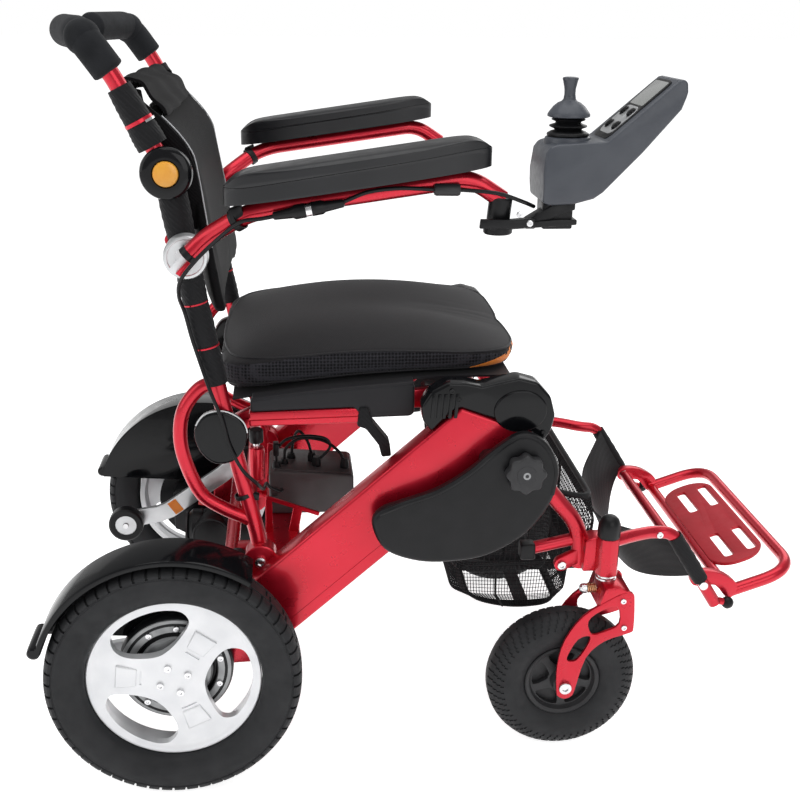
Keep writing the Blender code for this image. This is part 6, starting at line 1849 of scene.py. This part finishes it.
for side, s in SIDES.items():
    body = f"arm_{side}"
    y = s * ARM_Y
    line = [(0.037, s * 0.2515, 0.679), (0.062, s * 0.2515, 0.703), (0.112, y, under_pad(0.112) - 0.0107),
        (0.356, y, under_pad(0.356) - 0.0107), (0.393, y, 0.747)]
    tube = swept(bent(line, 0.034, 12), 0.0106, 10)
    tongue = plate(mm((23, 659), (28.5, 655), (44, 670), (39, 675)), s * 0.238, s * 0.245, 0.001)
    hand_over(joined([tube, tongue]), f"armrest_tube_{side}", body, *RED, [f"arm_tube_{side}"], 34)
    boot = turned(mm((0.1, 0), (11.8, 0), (13.2, 2), (13.2, 25), (12, 27), (0.1, 27)),
        at(0.3915, y, 0.75), (-0.1, 0, -1), 36)
    band = turned(mm((12.2, -4.5), (13.4, -4), (13.4, 4), (12.2, 4.5)), at(0.0975, s * 0.272, 0.7262),
        (0.042, s * 0.021, 0.027), 40)
    foot = plate(mm((90, 724), (105, 732), (102, 744), (88, 738)), s * 0.27, s * 0.284, 0.0015)
    heel = turned(mm((10.8, -4), (12, -3.4), (12, 3.4), (10.8, 4)), at(0.04, s * 0.2515, 0.6819),
        (0.72, 0, 0.69), 36)
    hand_over(joined([boot, band, foot, heel]), f"arm_socket_{side}", body, *SATIN, (), 34)

    disc = turned_out(mm((0.1, 219.5), (24.5, 219.5), (25.8, 220.8), (25.8, 237), (24.5, 239.2),
        (21.5, 240.2), (20.5, 239.2), (12, 239.2), (11, 240.2), (6, 240.2), (0.1, 240.2)), ARM_PIVOT, s,
        64)
    channel = plate(mm((9.5, 656), (17.5, 649), (64, 701), (56, 708)), s * 0.2385, s * 0.243)
    carve(disc, channel)
    soften(disc, 0.0004, 1, 50)
    hand_over(disc, f"arm_disc_{side}", body, *ALLOY, [f"arm_pivot_{side}"], 34)
print("armrest tubes placed")

# %% [markdown]
# The arm pads are moulded foam with a skin: a flat-sided bar with a softly crowned top, round ends
# and a mould line along the shoulder. The bar is a subdivided block shaped to that section.

# %% Arm pads
PAD_Y = 0.28
SEAM_RISE = 0.0208


def pad_look(a, s):
    """A look at the pad's side, from an angle round it and level with its seam."""
    u, v = math.cos(a), math.sin(a)
    size = (abs(u) ** 5 + abs(v) ** 5) ** (-1 / 5)
    height = under_pad(PAD_MID + PAD_LONG / 2 * max(-1.0, min(1.0, u * size))) + SEAM_RISE
    spot = at(PAD_MID + (PAD_LONG / 2 + 0.05) * u * size, s * PAD_Y + 0.085 * v * size, height)
    goal = at(PAD_MID + PAD_LONG / 2 * u * size * 0.8, s * PAD_Y + 0.035 * v * size * 0.6, height)
    return spot, (goal - spot).normalized()


def arm_pad(side, s):
    """One pad with its seam, a thin cord laid where looks from all round meet the pad."""
    pad = filled_block(17)
    for vertex in pad.data.vertices:
        a, b, c = vertex.co
        u, v, _ = rounded_plan(a, b, 2.8)
        u = max(-1.0, min(1.0, u))
        x = PAD_MID + PAD_LONG / 2 * u
        level = (c + 1) / 2
        if level < 0.1:
            draw = 0.955
        elif level > 0.999:
            draw = 0.985
        elif level < 0.62:
            draw = 0.965
        else:
            draw = 1.0
        y = 0.035 * v * draw
        round_over = 1 - 0.34 * max(0.0, (abs(u) - 0.84) / 0.16) ** 2
        z = under_pad(x) + 0.0335 * level * round_over - 0.002 * (1 - level)
        if level > 0.999:
            z += 0.0022 * (1 - abs(v) ** 2.6) * (1 - abs(u) ** 8)
            z -= 0.0048 * max(abs(v), abs(u)) ** 14
        z = max(z, under_pad(x) + 0.0004)
        vertex.co = at(x, s * PAD_Y + y, z)
    refine(pad)
    hand_over(pad, f"padded_arm_{side}", f"arm_{side}", "arm_padding", soft_pad, [f"arm_pad_{side}"], 60)
    looks = [pad_look(math.tau * k / SEAM_STEPS, s) for k in range(SEAM_STEPS)]
    seam = laid_cord(surface_line(pad, looks, -0.0001), 0.0005)
    hand_over(seam, f"pad_seam_{side}", f"arm_{side}", "arm_padding", gloss_black, (), 60)
    return pad


for side, s in SIDES.items():
    pad = arm_pad(side, s)
print("pads placed, faces", len(pad.data.polygons))

# %% [markdown]
# The drive control is a moulded handset: a deep body with a crease along its side, a keypad and a
# display on its raised arm, and the joystick in front of the rider's hand. The crease is cut with a
# bisect, and the faces above and below it are leaned inwards.

# %% Drive control body
CONTROL = mm((433.5, 754), (432.5, 778), (435, 801), (440, 808), (448, 810.5), (501, 814), (576, 878.5),
    (582, 880), (586.5, 876.5), (587, 866.5), (582, 848), (544, 801), (503, 757), (493, 750),
    (471, 744.5), (442, 744), (434, 747))
CONTROL_Y = -0.269
crease = Vector((0.43, 0.762))
slope = (Vector((0.594, 0.8665)) - crease).normalized()
across = Vector((-slope.y, slope.x))
handset = plate(CONTROL, CONTROL_Y - 0.0415, CONTROL_Y + 0.0415)
edit(handset)
bpy.ops.mesh.bisect(plane_co=at(crease.x, CONTROL_Y, crease.y), plane_no=(across.x, 0, across.y))
leave_edit()
for vertex in handset.data.vertices:
    gap = (Vector((vertex.co.x - AXLE_X, vertex.co.z)) - crease).dot(across)
    lean = 0.17 * max(0.0, gap) + 0.3 * max(0.0, -gap)
    side_of = 1 if vertex.co.y > CONTROL_Y else -1
    vertex.co.y -= side_of * min(0.012, lean)
soften(handset, 0.005, 5, 30)
low, high = Vector((0.501, 0, 0.814)), Vector((0.574, 0, 0.878))
along = (high - low).normalized()
normal = Vector((-along.z, 0, along.x))
KEYS = [(0.22, -0.014), (0.22, 0.014), (0.44, -0.014), (0.44, 0.014)]


def deck_spot(share, offset):
    """A place on the keypad's slope, by its share of the length and its offset across."""
    return low + (high - low) * share + Vector((0, CONTROL_Y + offset, 0))


def deck_disc(place, radius, depth, rise):
    """A short drum standing on the keypad's slope."""
    profile = [(0.0001, -depth), (radius, -depth), (radius, rise), (0.0001, rise)]
    return turned(profile, at(*place), normal, 36)


for share, offset in KEYS:
    carve(handset, deck_disc(deck_spot(share, offset), 0.0066, 0.0038, 0.006))
neck = plate(mm((438, 715), (472, 715), (472, 745), (438, 745)), -0.29, -0.268, 0.002)
collar = turned_up(mm((0.1, 802), (26.2, 802), (26.2, 811.8), (25, 815), (23, 815.9), (0.1, 815.9)),
    0.466, CONTROL_Y, 56)
hand_over(joined([handset, collar]), "handset_body", "arm_right", "handset_case", handset_plastic,
    ["drive_control"], 34)
print("handset faces", len(handset.data.polygons))

# %% Keypad and display
def deck_plate(corners, lift, thickness, bevel, holes=()):
    """A thin plate on the slope, with round holes where the keys come through."""
    ring = [at(*(deck_spot(share, offset) + normal * lift)) for share, offset in corners]
    obj = pressed(ring, normal * thickness)
    for share, offset in holes:
        carve(obj, deck_disc(deck_spot(share, offset), 0.0067, 0.01, 0.01))
    return soften(obj, bevel, 2, 40)


def rounded_box(share0, share1, half, corner):
    """Corners of a rounded rectangle on the slope, as (share, across) pairs."""
    length = (high - low).length
    c = corner / length
    out = []
    for cs, cy, start in ((share1 - c, half - corner, 0), (share0 + c, half - corner, 90),
            (share0 + c, -half + corner, 180), (share1 - c, -half + corner, 270)):
        out += [(cs + c * math.cos(math.radians(start + a)),
            cy + corner * math.sin(math.radians(start + a))) for a in (0, 30, 60, 90)]
    return out


for name, box, lift, thickness, bevel, holes, skin in (("handset_bezel", (0.02, 0.985, 0.0285, 0.008),
        -0.001, 0.0016, 0.0004, KEYS, satin_black), ("keypad_film", (0.09, 0.535, 0.0235, 0.009), 0.0004,
        0.0005, 0.0002, KEYS, brushed_alloy), ("display_window", (0.56, 0.95, 0.024, 0.003), 0.0004,
        0.0007, 0.0002, (), display_glass)):
    piece = deck_plate(rounded_box(*box), lift, thickness, bevel, holes)
    hand_over(piece, name, "arm_right", "handset_case", skin, (), 34)
for number, (share, offset) in enumerate(KEYS, 1):
    key = turned(mm((0.1, -1.8), (6, -1.8), (6.2, -1.2), (6.2, 1.2), (5.5, 2.8), (3.8, 3.7), (0.1, 4)),
        at(*deck_spot(share, offset)), normal, 40)
    hand_over(key, f"key_cap_{number}", f"button_{number}", "key_caps", gloss_black, [f"key_{number}"],
        34)
print("keys and display placed")

# %% [markdown]
# The joystick stands in a rubber bellows and flares to a finger knob. Both are spun, the bellows with
# three soft folds.

# %% Joystick
STICK = (0.466, CONTROL_Y)
base = 0.8163
waist = base + 0.0066


def raised(profile, height):
    """A turning profile lifted to the height where it stands."""
    return [(radius, height + up) for radius, up in profile]


low_fold = raised(mm((8.5, 0), (22.5, 0), (23.6, 1.2), (23.2, 3), (19.5, 5.2), (15, 6.6), (8.5, 6.6)),
    base)
high_folds = raised(mm((8.5, 6.6), (15, 6.6), (15.8, 8), (20.5, 9.8), (21.4, 10.8), (20.5, 11.9),
    (15, 13.6), (14, 14.8), (15, 16), (18.6, 17.2), (19, 18), (18, 19), (12.5, 19.6), (6.2, 19.6),
    (6.2, 18.6), (8.5, 17.6)), base)
for name, profile, replaced, foot, head, low_z, high_z in (("bellows_base", low_fold, (), "arm_right",
        "boot", base, waist), ("stick_bellows", high_folds, ["joystick_boot"], "boot", "stick", waist,
        base + 0.0186)):
    rubber = turned(profile, at(*STICK, 0), (0, 0, 1), 64)
    hand_over(rubber, name, None, *RUBBER, replaced, 60)
    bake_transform(rubber)
top = base + 0.0199
stem = raised([(0.0001, 0.003), (0.0052, 0.003)], base)
knob = raised(mm((5.2, 0), (21.5, 0.4), (23.6, 1.4), (23.8, 3.4), (22.2, 6.2), (17.8, 12), (13, 16),
    (8.6, 18), (7, 20), (6.2, 25), (6.4, 31), (8.2, 39), (9, 41.5), (8.6, 42.8), (6, 43.5), (0.1, 43.7)),
    top)
stick = turned(stem + knob, at(*STICK, 0), (0, 0, 1), 64)
hand_over(stick, "stick_knob", "stick", "handset_case", handset_plastic, ["joystick"], 40)
print("joystick placed")

# %% [markdown]
# A black clamp on the front of the arm holds the control's bracket: a flat bar, a toggle lever and a
# clamp block round the arm socket.

# %% Control bracket
bar = plate(mm((378, 714.5), (476, 720.5), (476, 726.5), (456, 727), (378, 720.5)), -0.295, -0.263,
    0.0012)
clamp = turned_up(mm((0.1, 709), (15, 709), (16.5, 710.5), (16.5, 722.5), (15, 724), (0.1, 724)), 0.389,
    -0.279, 40)
toggle = plate(mm((365, 718), (366, 728.5), (406, 727.5), (427, 729), (428, 719), (405, 718)), -0.3,
    -0.294, 0.0012)
arm = plate(mm((418, 716), (428, 716), (460, 733), (474, 737), (474, 745), (450, 744), (420, 726)),
    -0.292, -0.27, 0.0012)
post = plate(mm((439, 725), (470, 725), (470, 746), (439, 746)), -0.288, -0.25, 0.0015)
hand_over(joined([bar, clamp, toggle, arm, post, neck]), "control_bracket", "arm_right", "handset_case",
    satin_black, (), 34)
screws = [side_bolt(0.421, -0.2998, 0.724, -1, 0.0038, 0.0024), side_bolt(0.41, -0.2945, 0.733, -1,
    0.0034, 0.003)]
hand_over(joined(screws), "bracket_screws", "arm_right", *STEEL, (), 34)
print("bracket placed")

# %% [markdown]
# The lead from the control is clipped to the armrest, crosses to the back frame with some slack, runs
# down the upright and ends in the controller. It crosses two joints, so it is made in two lengths that
# meet on the upright.

# %% Control lead
LEAD_R = 0.0023
Y = -ARM_Y
LEAD = [(0.43, Y + 0.004, 0.7385), (0.412, Y - 0.02, 0.748), (0.385, Y - 0.0205, 0.757),
    (0.35, Y - 0.0145, 0.76), (0.315, Y - 0.0145, 0.761), (0.275, Y - 0.0145, 0.7625),
    (0.24, Y - 0.016, 0.7585), (0.2085, Y - 0.0185, 0.747), (0.165, Y - 0.0185, 0.7385),
    (0.1262, Y - 0.0175, 0.731), (0.1, Y - 0.015, 0.726), (0.07, -0.274, 0.7), (0.046, -0.268, 0.676),
    (0.03, -0.26, 0.654), (0.026, -0.245, 0.632), (0.03, -0.224, 0.606), (0.036, -0.2195, 0.575),
    (0.044, -0.2195, 0.545)]
LEAD_LOW = mm((44, -219.5, 545), (56, -231, 510), (68, -231, 475), (76, -231, 440), (90, -229, 408),
    (106, -218, 385), (112, -195, 368), (114, -160, 352), (116, -110, 338), (120, -82, 320),
    (132, -64, 306), (136, -46.5, 300))
upper = swept(flowing(LEAD, 8), LEAD_R, 6)
hand_over(upper, "lead_upper", None, *RUBBER, (), 60)
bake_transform(upper)
lower = swept(flowing(LEAD_LOW, 8), LEAD_R, 6)
hand_over(lower, "lead_lower", None, *RUBBER, ["control_cable"], 60)
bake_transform(lower)


def on_lead(share):
    """A place on the upper lead and its direction."""
    line = flowing(LEAD, 8)
    lengths = [0.0]
    for p, q in zip(line, line[1:]):
        lengths.append(lengths[-1] + (q - p).length)
    goal = lengths[-1] * share
    k = max(j for j in range(len(lengths)) if lengths[j] <= goal)
    k = min(k, len(line) - 2)
    return line[k], (line[k + 1] - line[k]).normalized()


def on_lead_piece(share, profile, name, slot, skin):
    """A turned fitting threaded on the lead."""
    place, way = on_lead(share)
    hand_over(turned(profile, at(*place), way, 32), name, "arm_right", slot, skin, (), 34)


on_lead_piece(0.205, mm((2.9, -15), (5.8, -14.2), (6.8, -12), (6.8, 12), (5.8, 14.2), (2.9, 15)),
    "lead_ferrite", "soft_boot", grey_plastic)
on_lead_piece(0.47, mm((2.4, -40), (4.4, -38.5), (6, -18), (7.8, -15), (7.8, -3.4), (2.9, -3.4)),
    "lead_plug", *RUBBER)
on_lead_piece(0.47, mm((3, -3.2), (7.2, -3.2), (7.2, 3.2), (3, 3.2)), "lead_plug_ring", *STEEL)
on_lead_piece(0.47, mm((2.9, 3.4), (8, 3.4), (8, 15), (6.2, 18), (4.4, 38.5), (2.4, 40)), "lead_socket",
    *RUBBER)
print("lead placed")
